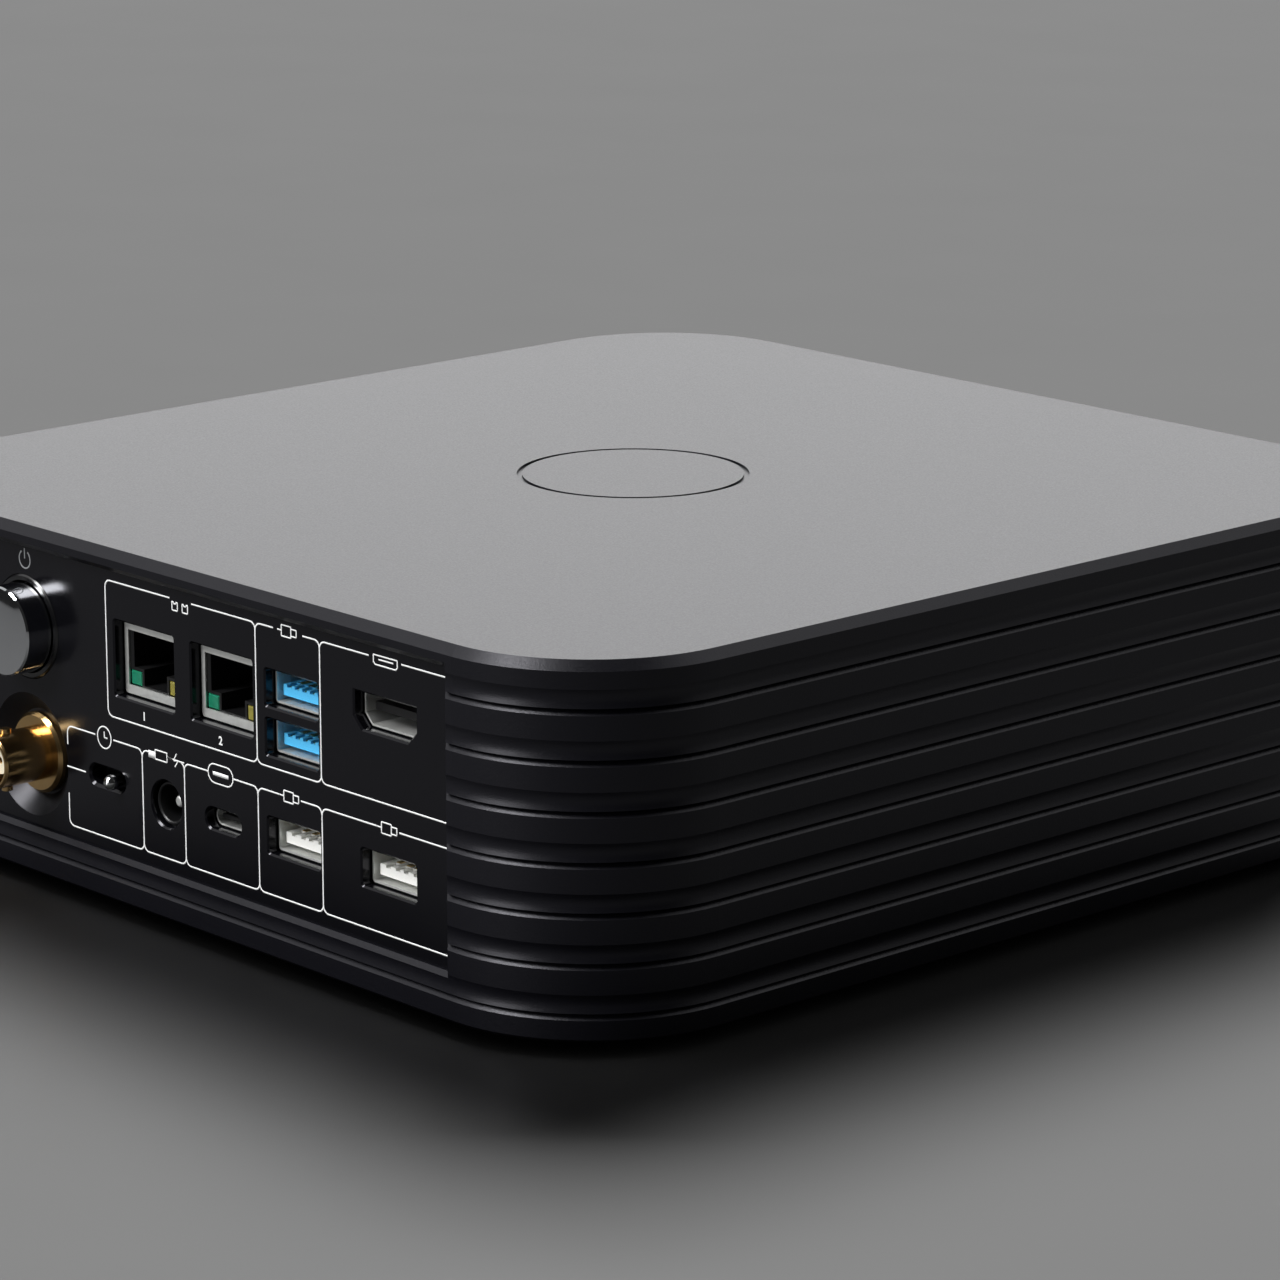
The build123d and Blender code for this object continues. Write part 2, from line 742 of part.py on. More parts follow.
with BuildPart() as power_board_screws:
    with BuildSketch(level(power_z + board_t)):
        with Locations(*power_points):
            Circle(m25_head_r)
    extrude(amount=m25_head_h)
    chamfer(power_board_screws.faces().group_by(Axis.Z)[-1].edges(), length=0.4)
    with BuildSketch(level(power_z + board_t)):
        with Locations(*power_points):
            Circle(m25_r)
    extrude(amount=-board_t - 4)
    with BuildSketch(level(power_z + board_t + m25_head_h)):
        with Locations(*power_points):
            RegularPolygon(0.95, 6)
    extrude(amount=-1, mode=Mode.SUBTRACT)
power_board_screws.part.label = "power_board_screws"
export_step(power_board_screws.part, "parts/power_board_screws.step")

with BuildPart() as filter_capacitors:
    with BuildSketch(level(power_z + board_t)):
        with Locations(capacitors_xy):
            with GridLocations(capacitor_pitch, capacitor_pitch, 2, 2):
                Circle(capacitor_r)
    extrude(amount=capacitor_h)
    chamfer(filter_capacitors.faces().group_by(Axis.Z)[-1].edges(), length=0.7)
filter_capacitors.part.label = "filter_capacitors"
export_step(filter_capacitors.part, "parts/filter_capacitors.step")

with BuildPart() as power_inductors:
    with BuildSketch(level(power_z + board_t)):
        with Locations(inductors_xy):
            with GridLocations(*inductor_pitch, 2, 2):
                RectangleRounded(inductor_side, inductor_side, inductor_side / 8)
    extrude(amount=inductor_h)
    chamfer(power_inductors.faces().group_by(Axis.Z)[-1].edges(), length=0.6)
power_inductors.part.label = "power_inductors"
export_step(power_inductors.part, "parts/power_inductors.step")

with BuildPart() as clock_oven:
    with BuildSketch(level(power_z + board_t)):
        with Locations((clock_x, power_ys[1] - oven_side / 2 - 9.3)):
            Rectangle(oven_side, oven_side)
    extrude(amount=oven_h)
    fillet(clock_oven.edges().filter_by(Axis.Z), radius=1.5)
    chamfer(clock_oven.faces().sort_by(Axis.Z)[-1].edges(), length=0.8)
clock_oven.part.label = "clock_oven"
export_step(clock_oven.part, "parts/clock_oven.step")

with BuildPart() as clock_battery:
    with BuildSketch(level(power_z + board_t)):
        with Locations((clock_x, power_ys[0] + 2 * battery_r)):
            Circle(battery_r - 1)
    extrude(amount=battery_rim)
    with BuildSketch(level(power_z + board_t + battery_rim)):
        with Locations((clock_x, power_ys[0] + 2 * battery_r)):
            Circle(battery_r)
    extrude(amount=battery_t)
clock_battery.part.label = "clock_battery"
export_step(clock_battery.part, "parts/clock_battery.step")

# Socket board behind the rear panel, its posts, screws and board links
with BuildPart() as io_board:
    with BuildSketch(upright(io_y)):
        with Locations(io_low):
            RectangleRounded(io_high[0] - io_low[0], io_high[1] - io_low[1], 1, align=Align.MIN)
        with Locations(*io_posts_xz):
            Circle(m25_r + hole_gap, mode=Mode.SUBTRACT)
        with Locations((clock_x, clock_z)):
            Circle(clock_pin_r + hole_gap, mode=Mode.SUBTRACT)
    extrude(amount=board_t)
io_board.part.label = "io_board"
export_step(io_board.part, "parts/io_board.step")

with BuildPart() as io_posts:
    with BuildSketch(upright(port_back_y)):
        with Locations(*io_posts_xz[:-1]):
            Circle(post_r)
    extrude(amount=port_back_y - io_y)
    with BuildSketch(upright(port_back_y)):
        with Locations(*io_posts_xz[:-1]):
            Circle(stud_r)
    extrude(amount=0.1 - stud_h)
    with BuildSketch(upright(panel_back_y)):
        with Locations(io_posts_xz[-1]):
            Circle(post_r)
    extrude(amount=panel_back_y - io_y)
    with BuildSketch(upright(panel_back_y)):
        with Locations(io_posts_xz[-1]):
            Circle(stud_r)
    extrude(amount=0.1 - stud_h)
    with BuildSketch(upright(io_y)):
        with Locations(*io_posts_xz):
            Circle(m25_r + thread_gap)
    extrude(amount=-7, mode=Mode.SUBTRACT)
io_posts.part.label = "io_posts"
export_step(io_posts.part, "parts/io_posts.step")

with BuildPart() as io_screws:
    with BuildSketch(upright(io_y - board_t)):
        with Locations(*io_posts_xz):
            Circle(m25_head_r)
    extrude(amount=m25_head_h)
    chamfer(io_screws.faces().group_by(Axis.Y)[0].edges(), length=0.4)
    with BuildSketch(upright(io_y - board_t)):
        with Locations(*io_posts_xz):
            Circle(m25_r)
    extrude(amount=-board_t - 5)
    with BuildSketch(upright(io_y - board_t - m25_head_h)):
        with Locations(*io_posts_xz):
            RegularPolygon(0.95, 6)
    extrude(amount=-1, mode=Mode.SUBTRACT)
io_screws.part.label = "io_screws"
export_step(io_screws.part, "parts/io_screws.step")

with BuildPart() as link_sockets:
    for link_x, low, edge_y, link_w in link_places:
        with BuildSketch(level(low)):
            with Locations((link_x, edge_y + link_over - link_d / 2)):
                Rectangle(link_w, link_d)
        extrude(amount=link_h)
    for link_x, low, edge_y, link_w in link_places:
        with BuildSketch(level(low + (link_h - link_blade_t) / 2 - fit)):
            with Locations((link_x, edge_y + link_over)):
                Rectangle(link_w - 4 + 2 * fit, 2 * link_blade_in + 2)
        extrude(amount=link_blade_t + 2 * fit, mode=Mode.SUBTRACT)
link_sockets.part.label = "link_sockets"
export_step(link_sockets.part, "parts/link_sockets.step")

with BuildPart() as link_plugs:
    for link_x, low, edge_y, link_w in link_places:
        with BuildSketch(upright(io_y - board_t)):
            with Locations((link_x, low + link_h / 2)):
                Rectangle(link_w, link_h)
        extrude(amount=3.5)
    for link_x, low, edge_y, link_w in link_places:
        with BuildSketch(upright(io_y - board_t)):
            with Locations((link_x, low + link_h / 2)):
                Rectangle(link_w - 4, link_blade_t)
        extrude(amount=io_y - board_t - edge_y + link_blade_in)
link_plugs.part.label = "link_plugs"
export_step(link_plugs.part, "parts/link_plugs.step")

# Network sockets: a shield, an insert with the plug and latch spaces, two lights
for number, jack_x in enumerate(network_x, start=1):
    with BuildPart() as network_shield:
        with BuildSketch(upright(port_y)):
            with Locations((jack_x, network_z)):
                RectangleRounded(network_w, network_h, 0.5)
        extrude(amount=port_depth)
        with BuildSketch(upright(port_y - shell_t)):
            with Locations((jack_x, network_z)):
                Rectangle(network_w - 2 * shell_t, network_h - 2 * shell_t)
        extrude(amount=port_depth, mode=Mode.SUBTRACT)
        with BuildSketch(upright(port_y)):
            with Locations((jack_x, network_z)):
                Rectangle(network_w - 2 * network_side, network_h - 2 * network_bar)
        extrude(amount=shell_t, mode=Mode.SUBTRACT)
    network_shield.part.label = f"network_jack_{number}_shield"
    export_step(network_shield.part, f"parts/network_jack_{number}_shield.step")

    with BuildPart() as network_insert:
        with BuildSketch(upright(insert_y)):
            with Locations((jack_x, network_z)):
                Rectangle(network_w - 2 * shell_t - 2 * fit, network_h - 2 * shell_t - 2 * fit)
        extrude(amount=insert_y - io_y)
        with BuildSketch(upright(insert_y)):
            with Locations((jack_x, plug_mid_z)):
                Rectangle(plug_w, plug_h)
            with Locations((jack_x, plug_mid_z - (plug_h + latch_h) / 2)):
                Rectangle(latch_w, latch_h)
        extrude(amount=plug_depth, mode=Mode.SUBTRACT)
        with BuildSketch(upright(insert_y)):
            with Locations((jack_x - light_x, light_z), (jack_x + light_x, light_z)):
                Rectangle(light_w + 2 * fit, light_h + 2 * fit)
        extrude(amount=light_d + fit, mode=Mode.SUBTRACT)
    network_insert.part.label = f"network_jack_{number}_insert"
    export_step(network_insert.part, f"parts/network_jack_{number}_insert.step")

with BuildPart() as network_contacts:
    with BuildSketch(*[Plane.YZ.offset(x) for x in contact_xs]):
        with BuildLine():
            Polyline(
                (insert_y - 0.8, plug_top_z),
                (insert_y - 1.5, plug_top_z),
                (insert_y - plug_depth, plug_top_z - contact_drop + 0.4),
                (insert_y - plug_depth, plug_top_z - contact_drop),
                (insert_y - plug_depth + 0.7, plug_top_z - contact_drop),
                close=True,
            )
        make_face()
    extrude(amount=0.2, both=True)
network_contacts.part.label = "network_contacts"
export_step(network_contacts.part, "parts/network_contacts.step")

for colour, side in (("green", 1), ("yellow", -1)):
    with BuildPart() as link_lights:
        with BuildSketch(upright(insert_y)):
            with Locations(*[(x + side * light_x, light_z) for x in network_x]):
                Rectangle(light_w, light_h)
        extrude(amount=light_d)
        chamfer(link_lights.faces().group_by(Axis.Y)[-1].edges(), length=0.3)
    link_lights.part.label = f"link_lights_{colour}"
    export_step(link_lights.part, f"parts/link_lights_{colour}.step")

# USB sockets: the pair, then the storage and audio ones
for port, centres, notches in (
    ("usb3_ports", [(usb3_x, z) for z in usb3_z], fast_offsets),
    ("storage_port", [(storage_x, storage_z)], contact_offsets),
    ("audio_port", [(audio_x, audio_z)], contact_offsets),
):
    with BuildPart() as usb_shell:
        with BuildSketch(upright(port_y)):
            usb_shell_sketches(centres, 0)
        extrude(amount=port_depth)
        with BuildSketch(upright(port_y)):
            usb_shell_sketches(centres, shell_t)
        extrude(amount=port_depth, mode=Mode.SUBTRACT)
    usb_shell.part.label = f"{port}_shell"
    export_step(usb_shell.part, f"parts/{port}_shell.step")

    with BuildPart() as usb_tongue:
        with BuildSketch(upright(io_y + base_t)):
            usb_shell_sketches(centres, shell_t + fit)
        extrude(amount=base_t)
        with BuildSketch(upright(port_y - tongue_set)):
            with Locations(*[(x, z + tongue_z) for x, z in centres]):
                Rectangle(tongue_w, tongue_t)
        extrude(amount=port_depth - tongue_set - base_t)
        # Each contact's way in at the front of the tongue
        with BuildSketch(upright(port_y - tongue_set)):
            with Locations(
                *[(x + dx, z + tongue_z + tongue_t / 2) for x, z in centres for dx in notches]
            ):
                Rectangle(notch_w, 2 * notch_h)
        extrude(amount=notch_l, mode=Mode.SUBTRACT)
    usb_tongue.part.label = f"{port}_tongue"
    export_step(usb_tongue.part, f"parts/{port}_tongue.step")

with BuildPart() as usb_contacts:
    for x, z in usb_places:
        with BuildSketch(level(z + tongue_z + tongue_t / 2)):
            with Locations((x, port_y - tongue_set - 5.2)):
                with Locations(*[(offset, 0) for offset in contact_offsets]):
                    Rectangle(1, 6)
        extrude(amount=0.12)
    for z in usb3_z:
        with BuildSketch(level(z + tongue_z + tongue_t / 2 - notch_h)):
            with Locations((usb3_x, port_y - tongue_set - 1.1)):
                with Locations(*[(offset, 0) for offset in fast_offsets]):
                    Rectangle(0.9, 1.2)
        extrude(amount=0.12)
usb_contacts.part.label = "usb_contacts"
export_step(usb_contacts.part, "parts/usb_contacts.step")

# Video and small power sockets
with BuildPart() as video_port_shell:
    with BuildSketch(upright(port_y)):
        video_outline(0)
    extrude(amount=port_depth)
    with BuildSketch(upright(port_y)):
        video_outline(-shell_t)
    extrude(amount=port_depth, mode=Mode.SUBTRACT)
video_port_shell.part.label = "video_port_shell"
export_step(video_port_shell.part, "parts/video_port_shell.step")

with BuildPart() as video_port_tongue:
    with BuildSketch(upright(io_y + base_t)):
        video_outline(-shell_t - fit)
    extrude(amount=base_t)
    with BuildSketch(upright(port_y - tongue_set)):
        with Locations((video_x, video_z + 0.45)):
            Rectangle(11.4, 1.4)
    extrude(amount=port_depth - tongue_set - base_t)
video_port_tongue.part.label = "video_port_tongue"
export_step(video_port_tongue.part, "parts/video_port_tongue.step")

with BuildPart() as type_c_shell:
    with BuildSketch(upright(port_y)):
        with Locations((type_c_x, type_c_z)):
            SlotOverall(type_c_w, type_c_h)
            SlotOverall(type_c_w - 0.6, type_c_h - 0.6, mode=Mode.SUBTRACT)
    extrude(amount=port_depth)
type_c_shell.part.label = "type_c_shell"
export_step(type_c_shell.part, "parts/type_c_shell.step")

with BuildPart() as type_c_tongue:
    with BuildSketch(upright(port_y - 6.2)):
        with Locations((type_c_x, type_c_z)):
            SlotOverall(type_c_w - 0.6 - 2 * fit, type_c_h - 0.6 - 2 * fit)
    extrude(amount=port_depth - 6.2)
    with BuildSketch(upright(port_y - 0.5)):
        with Locations((type_c_x, type_c_z)):
            Rectangle(6.7, 0.7)
    extrude(amount=5.7)
type_c_tongue.part.label = "type_c_tongue"
export_step(type_c_tongue.part, "parts/type_c_tongue.step")

# Power inlet with its centre pin
with BuildPart() as power_inlet_body:
    with BuildSketch(upright(port_back_y - seat_gap)):
        with Locations((inlet_x, inlet_z)):
            RectangleRounded(inlet_side, inlet_side, 0.6)
    extrude(amount=port_back_y - seat_gap - io_y)
    with BuildSketch(upright(face_y - 1)):
        with Locations((inlet_x, inlet_z)):
            Circle(inlet_nose_r)
    extrude(amount=port_wall)
    with BuildSketch(upright(face_y - 1)):
        with Locations((inlet_x, inlet_z)):
            Circle(inlet_bore_r)
    extrude(amount=inlet_bore_d, mode=Mode.SUBTRACT)
    with BuildSketch(upright(io_y)):
        with Locations((inlet_x, inlet_z)):
            Circle(inlet_pin_r + thread_gap)
    extrude(amount=-port_depth, mode=Mode.SUBTRACT)
    chamfer(power_inlet_body.faces().sort_by(Axis.Y)[-1].edges(), length=0.2)
power_inlet_body.part.label = "power_inlet_body"
export_step(power_inlet_body.part, "parts/power_inlet_body.step")

with BuildPart() as power_inlet_pin:
    with BuildSketch(upright(io_y)):
        with Locations((inlet_x, inlet_z)):
            Circle(inlet_pin_r)
    extrude(amount=io_y - face_y + 2.6)
    fillet(power_inlet_pin.faces().sort_by(Axis.Y)[-1].edges(), radius=0.5)
power_inlet_pin.part.label = "power_inlet_pin"
export_step(power_inlet_pin.part, "parts/power_inlet_pin.step")

# Clock connector, turned from round bar, in its dish
with BuildPart() as clock_connector_body:
    with BuildSketch(level(clock_z)):
        with BuildLine():
            Polyline(
                (clock_x, clock_rear_y),
                (clock_x + clock_thread_r, clock_rear_y),
                (clock_x + clock_thread_r, dish_y),
                (clock_x + clock_flange_r, dish_y),
                (clock_x + clock_flange_r, dish_y + clock_flange_t - 0.6),
                (clock_x + clock_flange_r - 0.6, dish_y + clock_flange_t),
                (clock_x + clock_barrel_r, dish_y + clock_flange_t),
                (clock_x + clock_barrel_r, clock_end_y - 0.4),
                (clock_x + clock_barrel_r - 0.4, clock_end_y),
                (clock_x, clock_end_y),
                close=True,
            )
        make_face()
    revolve(axis=Axis((clock_x, 0, clock_z), (0, 1, 0)))
    with BuildSketch(level(clock_z - lug_reach)):
        with Locations((clock_x, clock_end_y - 3.4)):
            Circle(lug_r)
    extrude(amount=2 * lug_reach)
    with BuildSketch(upright(clock_end_y)):
        with Locations((clock_x, clock_z)):
            Circle(clock_bore_r)
    extrude(amount=clock_end_y - clock_rear_y, mode=Mode.SUBTRACT)
clock_connector_body.part.label = "clock_connector_body"
export_step(clock_connector_body.part, "parts/clock_connector_body.step")

with BuildPart() as clock_connector_insulator:
    with BuildSketch(upright(dish_y)):
        with Locations((clock_x, clock_z)):
            Circle(clock_bore_r - fit)
    extrude(amount=dish_y - clock_rear_y)
    with BuildSketch(upright(dish_y)):
        with Locations((clock_x, clock_z)):
            Circle(2.4)
    extrude(amount=dish_y - clock_end_y + 2)
    with BuildSketch(upright(clock_end_y)):
        with Locations((clock_x, clock_z)):
            Circle(clock_pin_r + thread_gap)
    extrude(amount=clock_end_y - clock_rear_y, mode=Mode.SUBTRACT)
clock_connector_insulator.part.label = "clock_connector_insulator"
export_step(clock_connector_insulator.part, "parts/clock_connector_insulator.step")

with BuildPart() as clock_connector_pin:
    with BuildSketch(upright(clock_end_y - 2.4)):
        with Locations((clock_x, clock_z)):
            Circle(clock_pin_r)
    extrude(amount=clock_end_y - 2.4 - io_y + board_t + 1.2)
    with BuildSketch(upright(clock_end_y - 2.4)):
        with Locations((clock_x, clock_z)):
            Circle(0.42)
    extrude(amount=4, mode=Mode.SUBTRACT)
clock_connector_pin.part.label = "clock_connector_pin"
export_step(clock_connector_pin.part, "parts/clock_connector_pin.step")

with BuildPart() as clock_connector_nut:
    with BuildSketch(upright(panel_back_y)):
        with Locations((clock_x, clock_z)):
            RegularPolygon(clock_thread_r + 2.2, 6)
            Circle(clock_thread_r + thread_gap, mode=Mode.SUBTRACT)
    extrude(amount=2.6)
clock_connector_nut.part.label = "clock_connector_nut"
export_step(clock_connector_nut.part, "parts/clock_connector_nut.step")

# Clock switch: a lever on a cross pin, leaning to the photograph's right
with BuildPart() as clock_switch_body:
    with BuildSketch(upright(port_back_y - 1.1)):
        with Locations((switch_x, switch_z)):
            RectangleRounded(switch_w, switch_h, 0.5)
    extrude(amount=port_back_y - 1.1 - io_y)
    with BuildSketch(upright(port_back_y - 1.1)):
        with Locations((switch_x, switch_z)):
            Rectangle(switch_w - 3.6, 2 * lever_ball_r + 0.6)
    extrude(amount=port_back_y - 1.1 - pivot_y + lever_ball_r + 0.6, mode=Mode.SUBTRACT)
    with BuildSketch(level(switch_z - lever_pin_half - 0.1)):
        with Locations((switch_x, pivot_y)):
            Circle(lever_pin_r + fit)
    extrude(amount=2 * lever_pin_half + 0.2, mode=Mode.SUBTRACT)
clock_switch_body.part.label = "clock_switch_body"
export_step(clock_switch_body.part, "parts/clock_switch_body.step")

with BuildPart() as clock_switch_lever:
    with BuildSketch(lever_plane):
        Circle(lever_r)
    extrude(amount=lever_length - lever_tip_r)
    with Locations(lever_plane.location * Location((0, 0, lever_length - lever_tip_r))):
        Sphere(lever_tip_r)
    with Locations((switch_x, pivot_y, switch_z)):
        Sphere(lever_ball_r)
    with BuildSketch(level(switch_z - lever_pin_half)):
        with Locations((switch_x, pivot_y)):
            Circle(lever_pin_r)
    extrude(amount=2 * lever_pin_half)
clock_switch_lever.part.label = "clock_switch_lever"
export_step(clock_switch_lever.part, "parts/clock_switch_lever.step")

# Power button: bezel, nut, sprung cap and the switch behind it
with BuildPart() as power_button_bezel:
    with BuildSketch(upright(bezel_front_y)):
        with Locations((button_x, button_z)):
            Circle(bezel_r)
    extrude(amount=bezel_front_y - bezel_seat_y)
    chamfer(power_button_bezel.faces().sort_by(Axis.Y)[-1].edges(), length=bezel_proud)
    with BuildSketch(upright(bezel_seat_y)):
        with Locations((button_x, button_z)):
            Circle(bezel_thread_r)
    extrude(amount=bezel_seat_y - bezel_rear_y)
    with BuildSketch(upright(bezel_front_y)):
        with Locations((button_x, button_z)):
            Circle(bezel_bore_r)
    extrude(amount=bezel_front_y - bezel_floor_y, mode=Mode.SUBTRACT)
    with BuildSketch(upright(bezel_cavity_y)):
        with Locations((button_x, button_z)):
            Circle(bezel_cavity_r)
    extrude(amount=bezel_cavity_y - bezel_rear_y, mode=Mode.SUBTRACT)
    with BuildSketch(upright(bezel_front_y)):
        with Locations((button_x, button_z)):
            Circle(stem_r + 0.08)
    extrude(amount=bezel_front_y - bezel_cavity_y, mode=Mode.SUBTRACT)
power_button_bezel.part.label = "power_button_bezel"
export_step(power_button_bezel.part, "parts/power_button_bezel.step")

with BuildPart() as power_button_nut:
    with BuildSketch(upright(panel_back_y)):
        with Locations((button_x, button_z)):
            RegularPolygon(nut_r, 6)
            Circle(bezel_thread_r + thread_gap, mode=Mode.SUBTRACT)
    extrude(amount=nut_t)
power_button_nut.part.label = "power_button_nut"
export_step(power_button_nut.part, "parts/power_button_nut.step")

with BuildPart() as power_button_cap:
    with BuildSketch(level(button_z)):
        with BuildLine():
            Polyline(
                (button_x, stem_end_y),
                (button_x + stem_r, stem_end_y),
                (button_x + stem_r, collar_y - collar_t),
                (button_x + collar_r, collar_y - collar_t),
                (button_x + collar_r, collar_y),
                (button_x + stem_r, collar_y),
                (button_x + stem_r, cap_back_y),
                (button_x + cap_r, cap_back_y),
                (button_x + cap_r, cap_rim_y - 0.3),
                (button_x + cap_r - 0.3, cap_rim_y),
            )
            RadiusArc(
                (button_x + cap_r - 0.3, cap_rim_y),
                (button_x, cap_rim_y + cap_dome),
                -dome_r,
            )
            Line((button_x, cap_rim_y + cap_dome), (button_x, stem_end_y))
        make_face()
    revolve(axis=Axis((button_x, 0, button_z), (0, 1, 0)))
power_button_cap.part.label = "power_button_cap"
export_step(power_button_cap.part, "parts/power_button_cap.step")

with BuildPart() as power_button_spring:
    with BuildLine() as spring_line:
        Helix(
            pitch=(spring_high_y - spring_low_y) / spring_turns,
            height=spring_high_y - spring_low_y,
            radius=spring_r,
            center=(button_x, spring_low_y, button_z),
            direction=(0, 1, 0),
        )
    with BuildSketch(Plane(origin=spring_line.line @ 0, z_dir=spring_line.line % 0)):
        Circle(spring_wire_r)
    sweep(path=spring_line.line, is_frenet=True)
power_button_spring.part.label = "power_button_spring"
export_step(power_button_spring.part, "parts/power_button_spring.step")

with BuildPart() as power_switch_core:
    with BuildSketch(upright(core_y)):
        with Locations((button_x, button_z)):
            Circle(bezel_cavity_r - 0.1)
    extrude(amount=core_y - io_y)
power_switch_core.part.label = "power_switch_core"
export_step(power_switch_core.part, "parts/power_switch_core.step")
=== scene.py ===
import json
import math

import bmesh
import bpy
from mathutils import Matrix, Vector


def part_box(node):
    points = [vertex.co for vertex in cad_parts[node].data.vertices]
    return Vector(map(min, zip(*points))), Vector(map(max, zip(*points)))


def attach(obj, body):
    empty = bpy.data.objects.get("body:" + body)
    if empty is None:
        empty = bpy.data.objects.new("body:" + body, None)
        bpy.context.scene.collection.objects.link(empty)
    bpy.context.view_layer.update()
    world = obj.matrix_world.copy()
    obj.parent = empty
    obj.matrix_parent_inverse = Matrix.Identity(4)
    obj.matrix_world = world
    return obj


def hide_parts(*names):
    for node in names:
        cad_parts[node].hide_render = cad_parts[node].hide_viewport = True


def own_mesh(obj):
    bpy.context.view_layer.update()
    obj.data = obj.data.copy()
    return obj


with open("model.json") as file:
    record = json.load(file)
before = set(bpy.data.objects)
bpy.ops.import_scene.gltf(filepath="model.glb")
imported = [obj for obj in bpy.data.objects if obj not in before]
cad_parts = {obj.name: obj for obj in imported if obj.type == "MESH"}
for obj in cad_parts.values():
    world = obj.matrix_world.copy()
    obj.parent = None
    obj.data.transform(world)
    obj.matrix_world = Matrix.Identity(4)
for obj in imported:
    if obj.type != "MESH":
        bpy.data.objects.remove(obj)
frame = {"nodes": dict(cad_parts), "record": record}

# The looks of the music server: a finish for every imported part, the printed marks
# on the rear panel, and the studio. Lengths are written in millimetres times MM.
MM = 0.001
scene = bpy.context.scene
parts = frame["nodes"]
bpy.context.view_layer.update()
panel_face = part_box("rear_panel")[1].y


def linear(hex_colour):
    """An sRGB hex colour as the linear RGBA that shaders take."""
    values = [int(hex_colour[i : i + 2], 16) / 255 for i in (1, 3, 5)]
    return [v / 12.92 if v <= 0.04045 else ((v + 0.055) / 1.055) ** 2.4 for v in values] + [1]


def add(tree, kind, links=None, **settings):
    """One node in tree: its settings, and for each input a value or another node's output."""
    node = tree.nodes.new(kind)
    for name, value in settings.items():
        setattr(node, name, value)
    for name, value in (links or {}).items():
        if isinstance(value, bpy.types.NodeSocket):
            tree.links.new(value, node.inputs[name])
        else:
            node.inputs[name].default_value = value
    return node


def finish(name, colour, roughness, **sockets):
    """A material with one Principled surface: the material, its tree and the surface node."""
    material = bpy.data.materials.new(name)
    material.use_nodes = True
    tree = material.node_tree
    tree.nodes.clear()
    values = {key.replace("_", " "): value for key, value in sockets.items()}
    surface = add(
        tree,
        "ShaderNodeBsdfPrincipled",
        {"Base Color": linear(colour), "Roughness": roughness, **values},
    )
    add(tree, "ShaderNodeOutputMaterial", {"Surface": surface.outputs[0]})
    return material, tree, surface


def object_place(tree, stretch=(1, 1, 1), centre=(0, 0, 0), turn=(0, 0, 0)):
    """Object coordinates, moved so that centre is the origin, turned and stretched."""
    place = add(tree, "ShaderNodeTexCoord").outputs["Object"]
    if centre != (0, 0, 0):
        moved = add(tree, "ShaderNodeVectorMath", {0: place, 1: centre}, operation="SUBTRACT")
        place = moved.outputs[0]
    if stretch != (1, 1, 1) or turn != (0, 0, 0):
        turned = add(tree, "ShaderNodeMapping", {"Vector": place, "Rotation": turn, "Scale": stretch})
        place = turned.outputs[0]
    return place


def cloud(tree, place, size, detail=2.0):
    """Soft random spots of about the given size in metres, as a value from 0 to 1."""
    links = {"Vector": place, "Scale": 1 / size, "Detail": detail, "Roughness": 0.55}
    return add(tree, "ShaderNodeTexNoise", links).outputs["Fac"]


def spread(tree, value, low, high, start=0.3, end=0.7):
    """Value from start to end turned into low to high."""
    links = {"Value": value, "From Min": start, "From Max": end, "To Min": low, "To Max": high}
    return add(tree, "ShaderNodeMapRange", links).outputs["Result"]


def tint(tree, surface, value, dark, pale):
    """Base colour between two hex colours by a value from 0 to 1."""
    mix = add(tree, "ShaderNodeMix", {0: value}, data_type="RGBA")
    mix.inputs[6].default_value = linear(dark)
    mix.inputs[7].default_value = linear(pale)
    tree.links.new(mix.outputs[2], surface.inputs["Base Color"])


def relief(tree, surface, height, depth, strength=1.0):
    """Fine relief of the given depth in metres from a height value."""
    links = {"Height": height, "Distance": depth, "Strength": strength}
    bump = add(tree, "ShaderNodeBump", links)
    tree.links.new(bump.outputs["Normal"], surface.inputs["Normal"])


def rings(tree, centre, pitch, axis="Y"):
    """Turning marks round a lathe axis through centre, one every pitch metres."""
    place = object_place(tree, centre=centre)
    links = {"Vector": place, "Scale": 1 / pitch / 20 * math.tau, "Distortion": 0.3, "Detail": 2.0}
    wave = add(tree, "ShaderNodeTexWave", links, wave_type="RINGS", rings_direction=axis)
    return wave.outputs["Fac"]


# Finishes, each with what its making gives the eye

# Black anodising reflects a trace more violet than it takes in
anodised_sheen = linear("#f7f6ff")


def blasted_anodised_aluminium():
    # Bead blasted, then dyed black: a dry, even satin with a faint sparkle of 0.12 mm
    # pits, drawn at 0.35 mm so that it shows, and broad patches where the dye varies
    material, tree, surface = finish(
        "bead blasted black anodised aluminium",
        "#0b0b0f",
        0.35,
        IOR=1.38,
        Specular_Tint=anodised_sheen,
    )
    place = object_place(tree)
    pits = cloud(tree, place, 0.35 * MM, 3.0)
    patches = cloud(tree, place, 38 * MM)
    tint(tree, surface, patches, "#09090d", "#0d0d12")
    tree.links.new(spread(tree, pits, 0.31, 0.39), surface.inputs["Roughness"])
    relief(tree, surface, pits, 0.025 * MM, 0.8)
    return material


